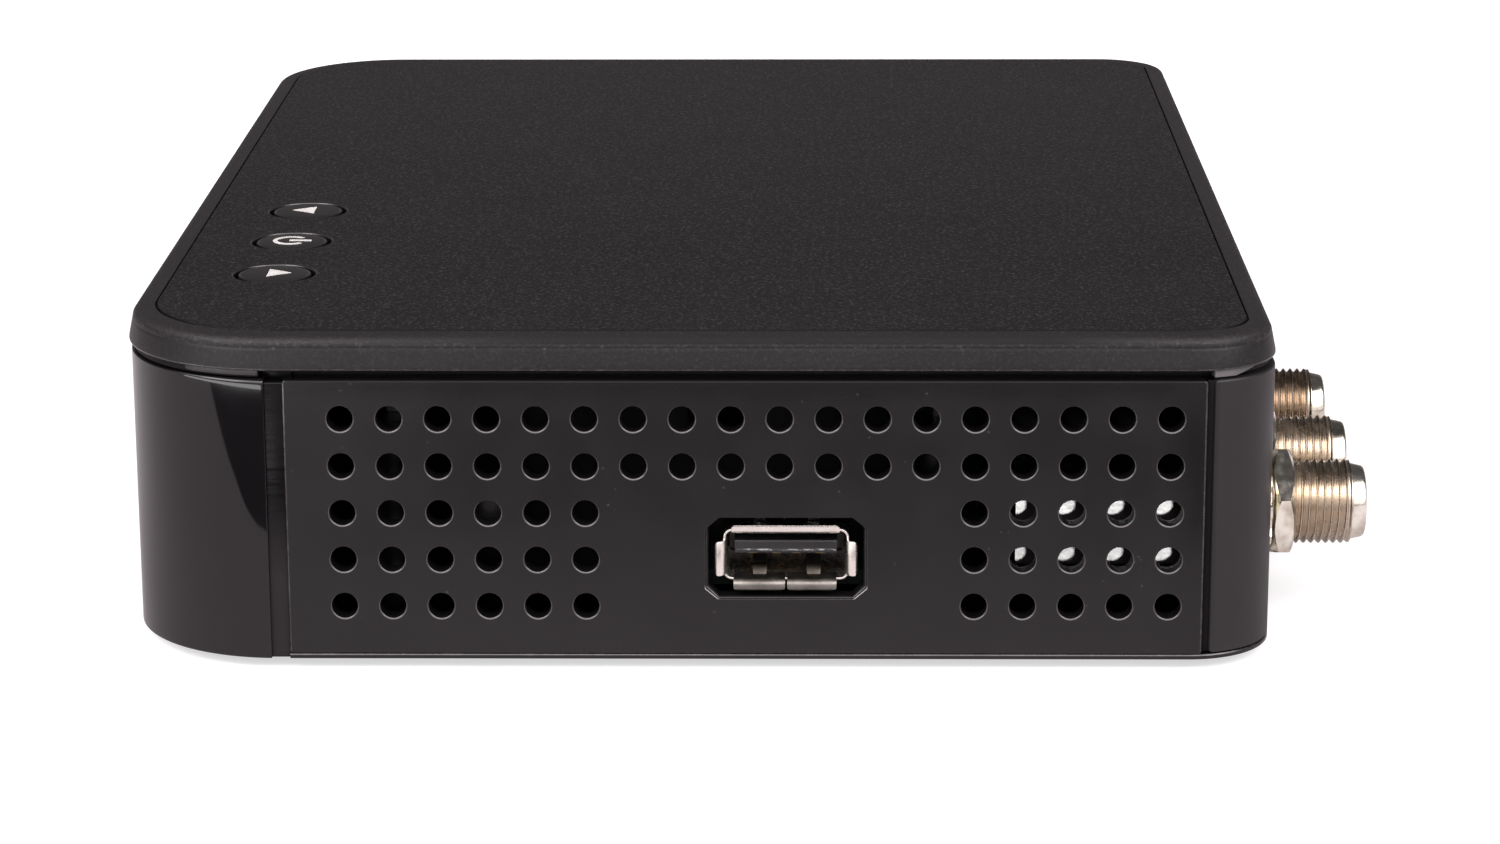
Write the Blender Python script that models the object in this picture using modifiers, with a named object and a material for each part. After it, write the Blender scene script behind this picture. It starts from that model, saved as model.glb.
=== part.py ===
"""Compact satellite tv receiver, built as an assembly.

World frame: metres, +Z up.  +X is the receiver's right side as seen from its
front, the front faces -Y and the sockets face +Y.  The origin lies on the
surface the feet stand on, in the middle of the overall box.

Inside the functions lengths are in millimetres and places are given as
  s  distance inward from the right side wall,
  d  distance behind the front face of the body,
  z  height above the underside of the case.
"""
import math

import bmesh
import bpy
from mathutils import Matrix

MM = 0.001

# ---------------------------------------------------------------- body
WIDTH = 158.0            # side wall to side wall
DEPTH = 119.7            # front face to back wall
OVERHANG = 0.45          # cover beyond the front face
REACH = 11.1             # threaded sockets beyond the back wall
FOOT = 1.2               # feet below the case
FRONT = (REACH + DEPTH + OVERHANG) / -2 + OVERHANG   # y of the front face
WALL = 2.2               # moulded wall
FLOOR = 2.0              # moulded floor
GAP = 0.3                # clearance between neighbours
R_FRONT = 16.3           # plan radius of the front corners
R_BACK = 8.9             # plan radius of the back corners
WALL_TOP = 29.88         # top edge of the side walls
SKIRT_LOW = 30.85        # lower edge of the cover's skirt
COVER_TOP = 34.5         # flat top of the cover
COVER_IN = 32.5          # underside of the cover's plate
PANEL_END = 15.7         # how far the front panel wraps back
LEDGE_START = 16.0       # where the moulded side walls start, set in
LEDGE_IN = 0.7           # depth of the channel beside the front panel
SIDE_START = 17.6        # where the side walls reach the outer surface

# ---------------------------------------------------------------- side vents
VENT_D = 2.8
VENT_PITCH = 5.0
VENT_COLS = 18
VENT_ROWS = 5
VENT_FIRST_D = 23.43
VENT_FIRST_Z = 25.81
VENT_BLANK_COLS = range(6, 13)
VENT_BLANK_ROWS = range(2, 5)

# ---------------------------------------------------------------- side socket
USB_D = 69.07
USB_Z = 10.93
USB_WINDOW = (16.0, 8.6, 1.2)      # width, height, corner cut
USB_SHELL = (13.1, 5.7, 0.4)       # width, height, sheet

# ---------------------------------------------------------------- keys
KEY_D = 13.66
KEY_S = {"channel_up": 27.9, "power": 43.6, "channel_down": 59.3}
KEY_HOLE = 8.7
KEY_CAP = 8.1

# ---------------------------------------------------------------- aerial sockets
AERIAL_S = (19.8, 37.6, 58.2)
AERIAL_Z = 11.4
AERIAL_R = 4.53
NUT_FLATS = 11.0
NUT_TURN = 16.0                    # degrees

# ---------------------------------------------------------------- boards
BOARD_LOW = 6.3
BOARD_TOP = 7.9
BOARD_S = (6.0, 152.0)
BOARD_D = (20.0, 116.0)
CASE_BOSS = ((11.0, 28.0), (147.0, 28.0), (9.0, 85.0), (149.0, 85.0))
BOARD_BOSS = ((24.0, 36.0), (134.0, 36.0), (28.0, 84.0), (130.0, 84.0))
FEET = ((15.0, 15.0), (143.0, 15.0), (15.0, 105.0), (143.0, 105.0))
KEY_BOSS = ((35.75, 19.3), (51.45, 19.3))
FRONT_BOARD_S = (74.0, 122.0)
LENS_S = (76.0, 120.0)
LENS_Z = (10.0, 26.0)


def px(s):
    return (WIDTH / 2 - s) * MM


def py(d):
    return (d + FRONT) * MM


def pz(z):
    return (z + FOOT) * MM


# ---------------------------------------------------------------- scene
for old in list(bpy.data.objects):
    bpy.data.objects.remove(old, do_unlink=True)

PARTS = bpy.data.collections.new("satellite_receiver")
CUTTERS = bpy.data.collections.new("cutters")
bpy.context.scene.collection.children.link(PARTS)
bpy.context.scene.collection.children.link(CUTTERS)


def place(ob, collection):
    for c in list(ob.users_collection):
        c.objects.unlink(ob)
    collection.objects.link(ob)
    return ob


def as_cutter(ob):
    ob.hide_render = True
    ob.display_type = 'WIRE'
    return place(ob, CUTTERS)


def finish(ob, name, colour, rough, metal=0.0, smooth=True):
    """Name a part, give it its own material and put it with the parts."""
    ob.name = name
    ob.data.name = name
    mat = bpy.data.materials.new(name)
    mat.use_nodes = True
    sh = mat.node_tree.nodes["Principled BSDF"]
    sh.inputs["Base Color"].default_value = (*colour, 1.0)
    sh.inputs["Roughness"].default_value = rough
    sh.inputs["Metallic"].default_value = metal
    ob.data.materials.clear()
    ob.data.materials.append(mat)
    if smooth:
        ob.data.shade_smooth()
        ob.data.set_sharp_from_angle(angle=math.radians(35))
    return place(ob, PARTS)


def boolean(ob, other, operation):
    m = ob.modifiers.new(operation.lower(), 'BOOLEAN')
    m.operation = operation
    m.object = other
    m.solver = 'EXACT'
    return ob


def cut(ob, *others):
    for o in others:
        boolean(ob, as_cutter(o), 'DIFFERENCE')
    return ob


def join(ob, *others):
    for o in others:
        boolean(ob, as_cutter(o), 'UNION')
    return ob


def apply_scale(ob):
    ob.data.transform(ob.matrix_basis)
    ob.matrix_basis.identity()
    return ob


def box(s0, s1, d0, d1, z0, z1, bevel=0.0, segments=1):
    """A block between two values of s, d and z."""
    bpy.ops.mesh.primitive_cube_add(size=1.0)
    ob = bpy.context.object
    ob.scale = ((s1 - s0) * MM, (d1 - d0) * MM, (z1 - z0) * MM)
    ob.location = (px((s0 + s1) / 2), py((d0 + d1) / 2), pz((z0 + z1) / 2))
    apply_scale(ob)
    if bevel:
        b = ob.modifiers.new("edges", 'BEVEL')
        b.width = bevel * MM
        b.segments = segments
        b.limit_method = 'ANGLE'
        b.use_clamp_overlap = True
    return ob


TURN = {'Z': (0.0, 0.0, 0.0), 'Y': (-math.pi / 2, 0.0, 0.0), 'X': (0.0, math.pi / 2, 0.0)}


def rod(s, d, z, radius, length, axis='Z', sides=24, spin=0.0):
    """A cylinder with its middle at s, d, z."""
    bpy.ops.mesh.primitive_cylinder_add(vertices=sides, radius=radius * MM, depth=length * MM)
    ob = bpy.context.object
    ob.data.transform(Matrix.Rotation(math.radians(spin), 4, "Z"))
    ob.rotation_euler = TURN[axis]
    ob.location = (px(s), py(d), pz(z))
    return ob


def turned(profile, s, d, z, axis='Z', steps=24, closed=False):
    """A turned solid: (radius, height) points run down the outer side."""
    me = bpy.data.meshes.new("profile")
    bm = bmesh.new()
    vs = [bm.verts.new((r * MM, 0.0, h * MM)) for r, h in profile]
    for a, b in zip(vs, vs[1:]):
        bm.edges.new((a, b))
    if closed:
        bm.edges.new((vs[-1], vs[0]))
    bm.to_mesh(me)
    bm.free()
    ob = bpy.data.objects.new("turned", me)
    PARTS.objects.link(ob)
    m = ob.modifiers.new("turn", 'SCREW')
    m.axis = 'Z'
    m.angle = 2 * math.pi
    m.steps = m.render_steps = steps
    m.use_merge_vertices = True
    m.merge_threshold = 1e-6
    m.use_normal_calculate = False
    ob.rotation_euler = TURN[axis]
    ob.location = (px(s), py(d), pz(z))
    return ob


def outline(inset, overhang=0.0):
    """Plan outline of the body, set in by a distance, as x and y in metres."""
    hx = WIDTH / 2 - inset
    y0 = FRONT - overhang + inset
    y1 = FRONT + DEPTH - inset
    rf = max(R_FRONT - inset, 0.6)
    rb = max(R_BACK - inset, 0.6)
    pts = []
    for cx, cy, r, a0, n in ((hx - rf, y0 + rf, rf, -90, 9), (hx - rb, y1 - rb, rb, 0, 6),
                             (-hx + rb, y1 - rb, rb, 90, 6), (-hx + rf, y0 + rf, rf, 180, 9)):
        for i in range(n + 1):
            a = math.radians(a0 + 90 * i / n)
            pts.append(((cx + r * math.cos(a)) * MM, (cy + r * math.sin(a)) * MM))
    return pts


def slab(points, z0, z1):
    """A flat outline with thickness: a filled 2D curve made into a mesh."""
    cu = bpy.data.curves.new("outline", 'CURVE')
    cu.dimensions = '2D'
    cu.fill_mode = 'BOTH'
    cu.extrude = (z1 - z0) / 2 * MM
    sp = cu.splines.new('POLY')
    sp.points.add(len(points) - 1)
    for p, (x, y) in zip(sp.points, points):
        p.co = (x, y, 0.0, 1.0)
    sp.use_cyclic_u = True
    src = bpy.data.objects.new("outline", cu)
    bpy.context.scene.collection.objects.link(src)
    src.location.z = pz((z0 + z1) / 2)
    return curve_to_mesh(src)


def curve_to_mesh(src):
    bpy.context.view_layer.update()
    dep = bpy.context.evaluated_depsgraph_get()
    me = bpy.data.meshes.new_from_object(src.evaluated_get(dep))
    bm = bmesh.new()
    bm.from_mesh(me)
    bmesh.ops.remove_doubles(bm, verts=bm.verts, dist=1e-6)
    bmesh.ops.recalc_face_normals(bm, faces=bm.faces)
    bm.to_mesh(me)
    bm.free()
    ob = bpy.data.objects.new("solid", me)
    ob.matrix_world = src.matrix_world.copy()
    bpy.context.scene.collection.objects.link(ob)
    bpy.data.objects.remove(src, do_unlink=True)
    return ob


def merged(objects):
    """Several separate cutters as one object."""
    bm = bmesh.new()
    for o in objects:
        bpy.context.view_layer.update()
        part = bmesh.new()
        part.from_mesh(o.data)
        part.transform(o.matrix_world)
        me = bpy.data.meshes.new("piece")
        part.to_mesh(me)
        part.free()
        bm.from_mesh(me)
        bpy.data.meshes.remove(me)
        bpy.data.objects.remove(o, do_unlink=True)
    me = bpy.data.meshes.new("set")
    bm.to_mesh(me)
    bm.free()
    ob = bpy.data.objects.new("set", me)
    bpy.context.scene.collection.objects.link(ob)
    return ob


# ================================================================ lower case
def vent_cutter(side):
    """One wall's vent pins as a single cutter; the pins are octagons."""
    bm = bmesh.new()
    s = 1.1 if side > 0 else WIDTH - 1.1
    for row in range(VENT_ROWS):
        for col in range(VENT_COLS):
            if row in VENT_BLANK_ROWS and col in VENT_BLANK_COLS:
                continue
            at = Matrix.Translation((px(s), py(VENT_FIRST_D + VENT_PITCH * col),
                                     pz(VENT_FIRST_Z - VENT_PITCH * row)))
            lie = Matrix.Rotation(math.pi / 2, 4, 'Y') @ Matrix.Rotation(math.pi / 8, 4, 'Z')
            bmesh.ops.create_cone(bm, cap_ends=True, segments=8, radius1=VENT_D / 2 * 1.03 * MM,
                                  radius2=VENT_D / 2 * 1.03 * MM, depth=5 * MM, matrix=at @ lie)
    me = bpy.data.meshes.new("vents")
    bm.to_mesh(me)
    bm.free()
    ob = bpy.data.objects.new("vents", me)
    bpy.context.scene.collection.objects.link(ob)
    return ob


def octagon_window(s0, s1, d, z, width, height, corner):
    """A window cutter through a side wall with its corners cut."""
    hw, hh, c = width / 2, height / 2, corner
    flat = [(hw, -hh + c), (hw, hh - c), (hw - c, hh), (-hw + c, hh),
            (-hw, hh - c), (-hw, -hh + c), (-hw + c, -hh), (hw - c, -hh)]
    cu = bpy.data.curves.new("window", 'CURVE')
    cu.dimensions = '2D'
    cu.fill_mode = 'BOTH'
    cu.extrude = (s1 - s0) / 2 * MM
    sp = cu.splines.new('POLY')
    sp.points.add(len(flat) - 1)
    for p, (u, v) in zip(sp.points, flat):
        p.co = (u * MM, v * MM, 0.0, 1.0)
    sp.use_cyclic_u = True
    src = bpy.data.objects.new("window", cu)
    bpy.context.scene.collection.objects.link(src)
    src.rotation_euler = (math.pi / 2, 0.0, math.pi / 2)
    src.location = (px((s0 + s1) / 2), py(d), pz(z))
    return curve_to_mesh(src)


lower = slab(outline(0.0), 0.0, WALL_TOP)
cut(lower, slab(outline(WALL), FLOOR, 45.0))
front_cut = box(-5, WIDTH + 5, -8, LEDGE_START, -5, 45)
cut(front_cut, slab(outline(WALL + GAP), -8.0, FLOOR + 0.6))
cut(lower, front_cut)
channel_cut = box(-4, WIDTH + 4, LEDGE_START - 0.6, SIDE_START, -4, 44)
cut(channel_cut, slab(outline(LEDGE_IN), -9.0, 50.0))
cut(lower, channel_cut)
join(lower, merged([rod(s, d, 12.5, 5.0, 23.0, sides=20) for s, d in CASE_BOSS]))
join(lower, merged([rod(s, d, 3.5, 3.2, 5.0, sides=16) for s, d in BOARD_BOSS]))
join(lower, merged([box(72.3, 75.3, 7.6, 12.6, 1.0, 20.0), box(120.7, 123.7, 7.6, 12.6, 1.0, 20.0)]))
cut(lower, box(FRONT_BOARD_S[0] - GAP, FRONT_BOARD_S[1] + GAP, 9.2, 11.0, 8.2, 30.0))
cut(lower, merged([rod(s, d, 7.0, 3.3, 18.0, sides=16) for s, d in CASE_BOSS]))
cut(lower, merged([rod(s, d, 20.0, 1.7, 12.0, sides=12) for s, d in CASE_BOSS]))
cut(lower, merged([rod(s, d, 5.0, 1.3, 5.0, sides=12) for s, d in BOARD_BOSS]))
cut(lower, merged([rod(s, d, -0.6, 5.3, 2.8, sides=24) for s, d in FEET]))
cut(lower, vent_cutter(1))
cut(lower, vent_cutter(-1))
cut(lower, octagon_window(-2.0, 4.0, USB_D, USB_Z, *USB_WINDOW))
cut(lower, merged([rod(s, 118.6, AERIAL_Z, AERIAL_R + GAP, 6.0, axis='Y', sides=24) for s in AERIAL_S]))
HDMI_S, LAN_S, AV_S, DC_S = 80.0, 102.0, 121.5, 140.0
cut(lower, box(HDMI_S - 7.9, HDMI_S + 7.9, 115, 122, 7.9, 14.3))
cut(lower, box(LAN_S - 8.3, LAN_S + 8.3, 115, 122, 7.9, 21.8))
cut(lower, merged([rod(AV_S, 118.6, 11.4, 3.4, 6.0, axis='Y', sides=24),
                   rod(DC_S, 118.6, 13.6, 4.4, 6.0, axis='Y', sides=24)]))
finish(lower, "lower_case", (0.022, 0.021, 0.022), 0.5)

# ================================================================ front panel
panel = slab(outline(0.0), 0.0, WALL_TOP)
cut(panel, slab(outline(WALL), -5.0, 45.0))
cut(panel, box(-5, WIDTH + 5, PANEL_END, DEPTH + 10, -5, 45))
cut(panel, box(LENS_S[0] - GAP, LENS_S[1] + GAP, -3, 5, LENS_Z[0] - GAP, LENS_Z[1] + GAP))
finish(panel, "front_panel", (0.02, 0.018, 0.018), 0.08)

lens = box(LENS_S[0], LENS_S[1], 0.15, 3.0, LENS_Z[0], LENS_Z[1])
join(lens, box(LENS_S[0] - 2, LENS_S[1] + 2, 2.5, 3.4, LENS_Z[0] - 2, LENS_Z[1] + 2))
finish(lens, "display_lens", (0.03, 0.006, 0.006), 0.05, smooth=False)

# ================================================================ top cover
cover = slab(outline(0.0, OVERHANG), SKIRT_LOW, COVER_TOP)
bm = bmesh.new()
bm.from_mesh(cover.data)
bm.faces.ensure_lookup_table()
top_z = max(v.co.z for v in bm.verts)
bmesh.ops.dissolve_limit(bm, angle_limit=math.radians(1), verts=bm.verts, edges=bm.edges)
top = [f for f in bm.faces if f.normal.z > 0.9]
rim = {e for f in top for e in f.edges}
bmesh.ops.inset_region(bm, faces=top, thickness=2.9 * MM, use_even_offset=True)
for v in {v for e in rim if e.is_valid for v in e.verts}:
    v.co.z -= 0.45 * MM
bm.edges.ensure_lookup_table()
low = top_z - 0.45 * MM
edge = [e for e in bm.edges if all(abs(v.co.z - low) < 1e-6 for v in e.verts)]
bmesh.ops.bevel(bm, geom=edge, offset=0.75 * MM, segments=2, profile=0.5, affect='EDGES')
bm.to_mesh(cover.data)
bm.free()
join(cover, slab(outline(WALL + GAP), 28.0, 31.6))
cut(cover, slab(outline(4.0), 20.0, COVER_IN))
join(cover, merged([rod(s, d, 28.65, 3.2, 8.7, sides=16) for s, d in CASE_BOSS] +
                   [rod(s, d, 28.65, 2.5, 8.7, sides=16) for s, d in KEY_BOSS]))
cut(cover, merged([rod(s, d, 26.5, 1.7, 9.6, sides=12) for s, d in CASE_BOSS] +
                  [rod(s, d, 26.5, 1.3, 8.0, sides=12) for s, d in KEY_BOSS]))
cut(cover, merged([rod(s, KEY_D, 34.0, KEY_HOLE / 2, 8.0, sides=32) for s in KEY_S.values()]))
finish(cover, "top_cover", (0.028, 0.028, 0.029), 0.62)

# ================================================================ keys
for key, s in KEY_S.items():
    r = KEY_CAP / 2
    cap = turned([(0.0, 34.62), (2.2, 34.56), (3.5, 34.36), (r, 34.0), (r, 32.2), (5.2, 32.2),
                  (5.2, 31.2), (1.5, 31.2), (1.5, 29.6), (0.0, 29.6)], s, KEY_D, 0.0, steps=24)
    finish(cap, key + "_button", (0.03, 0.03, 0.031), 0.45)
    pin = turned([(0.0, 29.3), (1.7, 29.3), (1.7, 25.5), (0.0, 25.5)], s, KEY_D, 0.0, steps=16)
    finish(pin, key + "_switch_plunger", (0.35, 0.3, 0.22), 0.4)
    body = box(s - 3.0, s + 3.0, KEY_D - 3.0, KEY_D + 3.0, 24.3, 27.8)
    cut(body, rod(s, KEY_D, 26.9, 2.0, 4.0, sides=16))
    finish(body, key + "_switch", (0.03, 0.03, 0.03), 0.5, smooth=False)

board = box(20.0, 67.0, 5.5, 22.5, 22.4, 24.0)
cut(board, merged([rod(s, d, 23.0, 1.3, 4.0, sides=12) for s, d in KEY_BOSS]))
finish(board, "key_board", (0.02, 0.12, 0.05), 0.45, smooth=False)
for i, (s, d) in enumerate(KEY_BOSS, 1):
    scr = turned([(0.0, 29.2), (1.0, 28.6), (1.0, 22.1), (2.0, 22.1), (2.0, 21.0), (1.4, 20.6),
                  (0.0, 20.6)], s, d, 0.0, steps=12)
    finish(scr, "key_board_screw_%d" % i, (0.5, 0.5, 0.5), 0.35, 1.0)

# ================================================================ display
fb = box(FRONT_BOARD_S[0], FRONT_BOARD_S[1], 9.5, 10.7, 8.5, 27.5)
finish(fb, "front_board", (0.02, 0.12, 0.05), 0.45, smooth=False)
finish(box(84.0, 110.0, 3.9, 9.2, 12.0, 24.0, 0.3), "display_module", (0.12, 0.12, 0.12), 0.35)
finish(box(113.0, 118.0, 4.6, 9.2, 14.5, 21.5, 0.8, 2), "ir_receiver", (0.02, 0.01, 0.01), 0.1)
led = turned([(0.0, 5.0), (0.8, 4.8), (1.35, 4.2), (1.5, 3.5), (1.5, 0.6), (1.9, 0.6), (1.9, 0.0),
              (0.0, 0.0)], 79.5, 9.2, 18.0, axis='Y', steps=16)
led.rotation_euler = (math.pi / 2, 0.0, 0.0)
finish(led, "status_led", (0.5, 0.02, 0.02), 0.15)

# ================================================================ main board
mb = box(BOARD_S[0], BOARD_S[1], BOARD_D[0], BOARD_D[1], BOARD_LOW, BOARD_TOP)
cut(mb, merged([rod(s, d, 7.0, 5.4, 6.0, sides=20) for s, d in CASE_BOSS]))
cut(mb, merged([rod(s, d, 7.0, 1.3, 6.0, sides=12) for s, d in BOARD_BOSS]))
finish(mb, "main_board", (0.015, 0.10, 0.045), 0.45, smooth=False)
for i, (s, d) in enumerate(BOARD_BOSS, 1):
    scr = turned([(0.0, 9.8), (1.8, 9.6), (2.6, 8.9), (2.6, 8.2), (1.0, 8.2), (1.0, 3.6), (0.0, 3.0)],
                 s, d, 0.0, steps=12)
    finish(scr, "board_screw_%d" % i, (0.5, 0.5, 0.5), 0.35, 1.0)
for i, (s, d) in enumerate(CASE_BOSS, 1):
    scr = turned([(0.0, 30.6), (1.4, 29.6), (1.4, 15.7), (2.75, 15.7), (2.75, 14.4), (2.0, 13.9),
                  (0.0, 13.9)], s, d, 0.0, steps=12)
    finish(scr, "case_screw_%d" % i, (0.5, 0.5, 0.5), 0.35, 1.0)

can = box(7.2, 68.0, 93.0, 116.9, 8.2, 17.8)
cut(can, box(7.7, 67.5, 93.5, 116.4, 5.0, 17.3))
finish(can, "tuner_can", (0.72, 0.70, 0.66), 0.3, 1.0, smooth=False)

finish(box(86.5, 103.5, 53.5, 70.5, 8.2, 9.8), "main_processor", (0.02, 0.02, 0.02), 0.4, smooth=False)
sink = box(84.0, 106.0, 51.0, 73.0, 10.1, 12.1)
join(sink, merged([box(84.0 + 4.16 * i, 85.2 + 4.16 * i, 51.0, 73.0, 11.5, 19.0) for i in range(6)]))
finish(sink, "heat_sink", (0.6, 0.6, 0.6), 0.4, 1.0, smooth=False)
finish(box(66.0, 79.0, 57.0, 65.0, 8.2, 9.3), "memory_chip", (0.02, 0.02, 0.02), 0.4, smooth=False)
cap = turned([(0.0, 20.2), (3.5, 20.2), (4.0, 19.7), (4.0, 9.6), (3.8, 9.2), (4.0, 8.8), (4.0, 8.2),
              (0.0, 8.2)], 137.0, 60.0, 0.0, steps=20)
finish(cap, "power_capacitor", (0.03, 0.04, 0.1), 0.35)
finish(box(124.0, 131.5, 60.0, 67.5, 8.2, 12.4, 0.8, 1), "power_inductor", (0.08, 0.08, 0.08), 0.6)


def ribbon(s, width, path, thick=0.4):
    """A flat ribbon that keeps its width along s and follows (d, z) points."""
    cu = bpy.data.curves.new("ribbon", 'CURVE')
    cu.dimensions = '2D'
    cu.fill_mode = 'NONE'
    cu.extrude = width / 2 * MM
    sp = cu.splines.new('POLY')
    sp.points.add(len(path) - 1)
    for p, (d, z) in zip(sp.points, path):
        p.co = (py(d), pz(z), 0.0, 1.0)
    src = bpy.data.objects.new("ribbon", cu)
    bpy.context.scene.collection.objects.link(src)
    src.rotation_euler = (math.pi / 2, 0.0, math.pi / 2)
    src.location = (px(s), 0.0, 0.0)
    ob = curve_to_mesh(src)
    m = ob.modifiers.new("thickness", 'SOLIDIFY')
    m.thickness = thick * MM
    m.offset = 0.0
    return ob


def bend(p0, p1, p2, p3, n):
    """Points of a smooth bend between two ends."""
    out = []
    for i in range(n + 1):
        t = i / n
        a, b, c, e = (1 - t) ** 3, 3 * t * (1 - t) ** 2, 3 * t * t * (1 - t), t ** 3
        out.append(tuple(a * w + b * x + c * y + e * v for w, x, y, v in zip(p0, p1, p2, p3)))
    return out


finish(ribbon(60.0, 9.0, bend((23.1, 23.2), (30.0, 23.2), (33.0, 19.0), (30.0, 8.6), 10)),
       "key_ribbon", (0.75, 0.75, 0.72), 0.5)
finish(ribbon(97.0, 12.0, bend((11.3, 14.0), (16.0, 14.0), (22.0, 15.5), (26.0, 8.6), 10)),
       "front_ribbon", (0.75, 0.75, 0.72), 0.5)

# ================================================================ aerial sockets
for i, s in enumerate(AERIAL_S, 1):
    r = AERIAL_R
    shell = turned([(3.0, 13.6), (3.95, 13.6), (4.2, 13.0), (4.2, 11.9), (r, 11.7), (r, 0.0), (3.3, 0.0),
                    (3.3, 13.0), (3.0, 13.2)], s, DEPTH - 2.5, AERIAL_Z, axis='Y', steps=20, closed=True)
    finish(shell, "aerial_socket_%d" % i, (0.62, 0.56, 0.48), 0.25, 1.0)
    core = turned([(0.0, 9.0), (0.5, 9.0), (0.5, 12.4), (3.0, 12.4), (3.0, 0.3), (0.0, 0.3)],
                  s, DEPTH - 2.5, AERIAL_Z, axis='Y', steps=12)
    finish(core, "aerial_insulator_%d" % i, (0.8, 0.8, 0.76), 0.4)
    wash = turned([(6.4, 0.5), (6.4, 0.0), (4.9, 0.0), (4.9, 0.5)], s, DEPTH + 0.3, AERIAL_Z,
                  axis='Y', steps=20, closed=True)
    finish(wash, "aerial_washer_%d" % i, (0.6, 0.56, 0.5), 0.3, 1.0)
    nut = rod(s, DEPTH + 1.1 + 1.1, AERIAL_Z, NUT_FLATS / 2 / math.cos(math.pi / 6), 2.2, axis='Y',
              sides=6, spin=90.0 + NUT_TURN)
    cut(nut, rod(s, DEPTH + 2.2, AERIAL_Z, AERIAL_R + GAP, 5.0, axis='Y', sides=24))
    finish(nut, "aerial_nut_%d" % i, (0.62, 0.58, 0.52), 0.25, 1.0, smooth=False)

# ================================================================ side socket
w, h, t = USB_SHELL
usb = box(0.7, 14.5, USB_D - w / 2, USB_D + w / 2, USB_Z - h / 2, USB_Z + h / 2)
join(usb, box(0.6, 1.0, USB_D - 7.25, USB_D + 7.25, USB_Z - 3.55, USB_Z + 3.55))
cut(usb, box(-1.0, 14.1, USB_D - w / 2 + t, USB_D + w / 2 - t, USB_Z - h / 2 + t, USB_Z + h / 2 - t))
finish(usb, "usb_shell", (0.6, 0.58, 0.55), 0.3, 1.0, smooth=False)
tongue = box(1.8, 13.0, USB_D - 5.35, USB_D + 5.35, USB_Z + 0.2, USB_Z + 1.55)
join(tongue, box(11.5, 13.8, USB_D - 5.8, USB_D + 5.8, USB_Z - 2.1, USB_Z + 2.1))
finish(tongue, "usb_tongue", (0.02, 0.02, 0.02), 0.4, smooth=False)

# ================================================================ rear sockets
hd = box(HDMI_S - 7.5, HDMI_S + 7.5, 107.5, 119.5, 8.2, 14.0)
cut(hd, box(HDMI_S - 7.0, HDMI_S + 7.0, 108.5, 125.0, 8.7, 13.5))
join(hd, box(HDMI_S - 5.8, HDMI_S + 5.8, 108.0, 118.2, 10.9, 11.8))
finish(hd, "hdmi_port", (0.6, 0.58, 0.55), 0.3, 1.0, smooth=False)

lan = box(LAN_S - 8.0, LAN_S + 8.0, 104.0, 120.0, 8.2, 21.5)
cut(lan, box(LAN_S - 5.95, LAN_S + 5.95, 107.0, 125.0, 11.8, 19.6))
cut(lan, box(LAN_S - 3.2, LAN_S + 3.2, 109.0, 125.0, 9.4, 12.5))
finish(lan, "ethernet_jack", (0.03, 0.03, 0.03), 0.4, smooth=False)

av = box(AV_S - 4.0, AV_S + 4.0, 106.0, 117.2, 8.2, 15.4)
join(av, rod(AV_S, 118.0, 11.4, 3.1, 3.8, axis='Y', sides=24))
cut(av, rod(AV_S, 115.0, 11.4, 1.75, 14.0, axis='Y', sides=20))
finish(av, "av_jack", (0.02, 0.02, 0.02), 0.4)

dc = box(DC_S - 4.6, DC_S + 4.6, 105.5, 117.2, 8.2, 18.8)
join(dc, rod(DC_S, 118.0, 13.6, 4.1, 3.6, axis='Y', sides=24))
cut(dc, rod(DC_S, 115.5, 13.6, 3.1, 14.0, axis='Y', sides=24))
join(dc, rod(DC_S, 113.2, 13.6, 1.0, 10.4, axis='Y', sides=16))
finish(dc, "dc_jack", (0.02, 0.02, 0.02), 0.4)

# ================================================================ feet
for i, (s, d) in enumerate(FEET, 1):
    foot = turned([(0.0, 0.5), (5.0, 0.5), (5.0, -0.8), (4.6, -FOOT), (0.0, -FOOT)], s, d, 0.0, steps=16)
    finish(foot, "foot_%d" % i, (0.02, 0.02, 0.02), 0.9)
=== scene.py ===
import math
import random

import bmesh
import bpy
from mathutils import Matrix, Vector, geometry


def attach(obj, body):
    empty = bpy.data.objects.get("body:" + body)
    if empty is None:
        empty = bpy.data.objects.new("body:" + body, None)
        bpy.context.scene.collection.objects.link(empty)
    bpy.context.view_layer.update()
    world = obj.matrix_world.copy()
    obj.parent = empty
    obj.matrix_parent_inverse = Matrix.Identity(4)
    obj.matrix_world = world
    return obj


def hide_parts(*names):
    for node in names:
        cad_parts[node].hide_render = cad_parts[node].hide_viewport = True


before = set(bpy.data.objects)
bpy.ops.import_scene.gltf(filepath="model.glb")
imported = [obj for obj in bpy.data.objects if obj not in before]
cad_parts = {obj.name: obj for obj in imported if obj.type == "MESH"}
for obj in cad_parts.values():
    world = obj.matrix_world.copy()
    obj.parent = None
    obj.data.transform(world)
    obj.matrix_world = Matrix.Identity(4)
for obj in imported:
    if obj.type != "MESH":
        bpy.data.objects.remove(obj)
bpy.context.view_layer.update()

scene = bpy.context.scene
MM = 0.001
BODY = "receiver"

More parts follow.
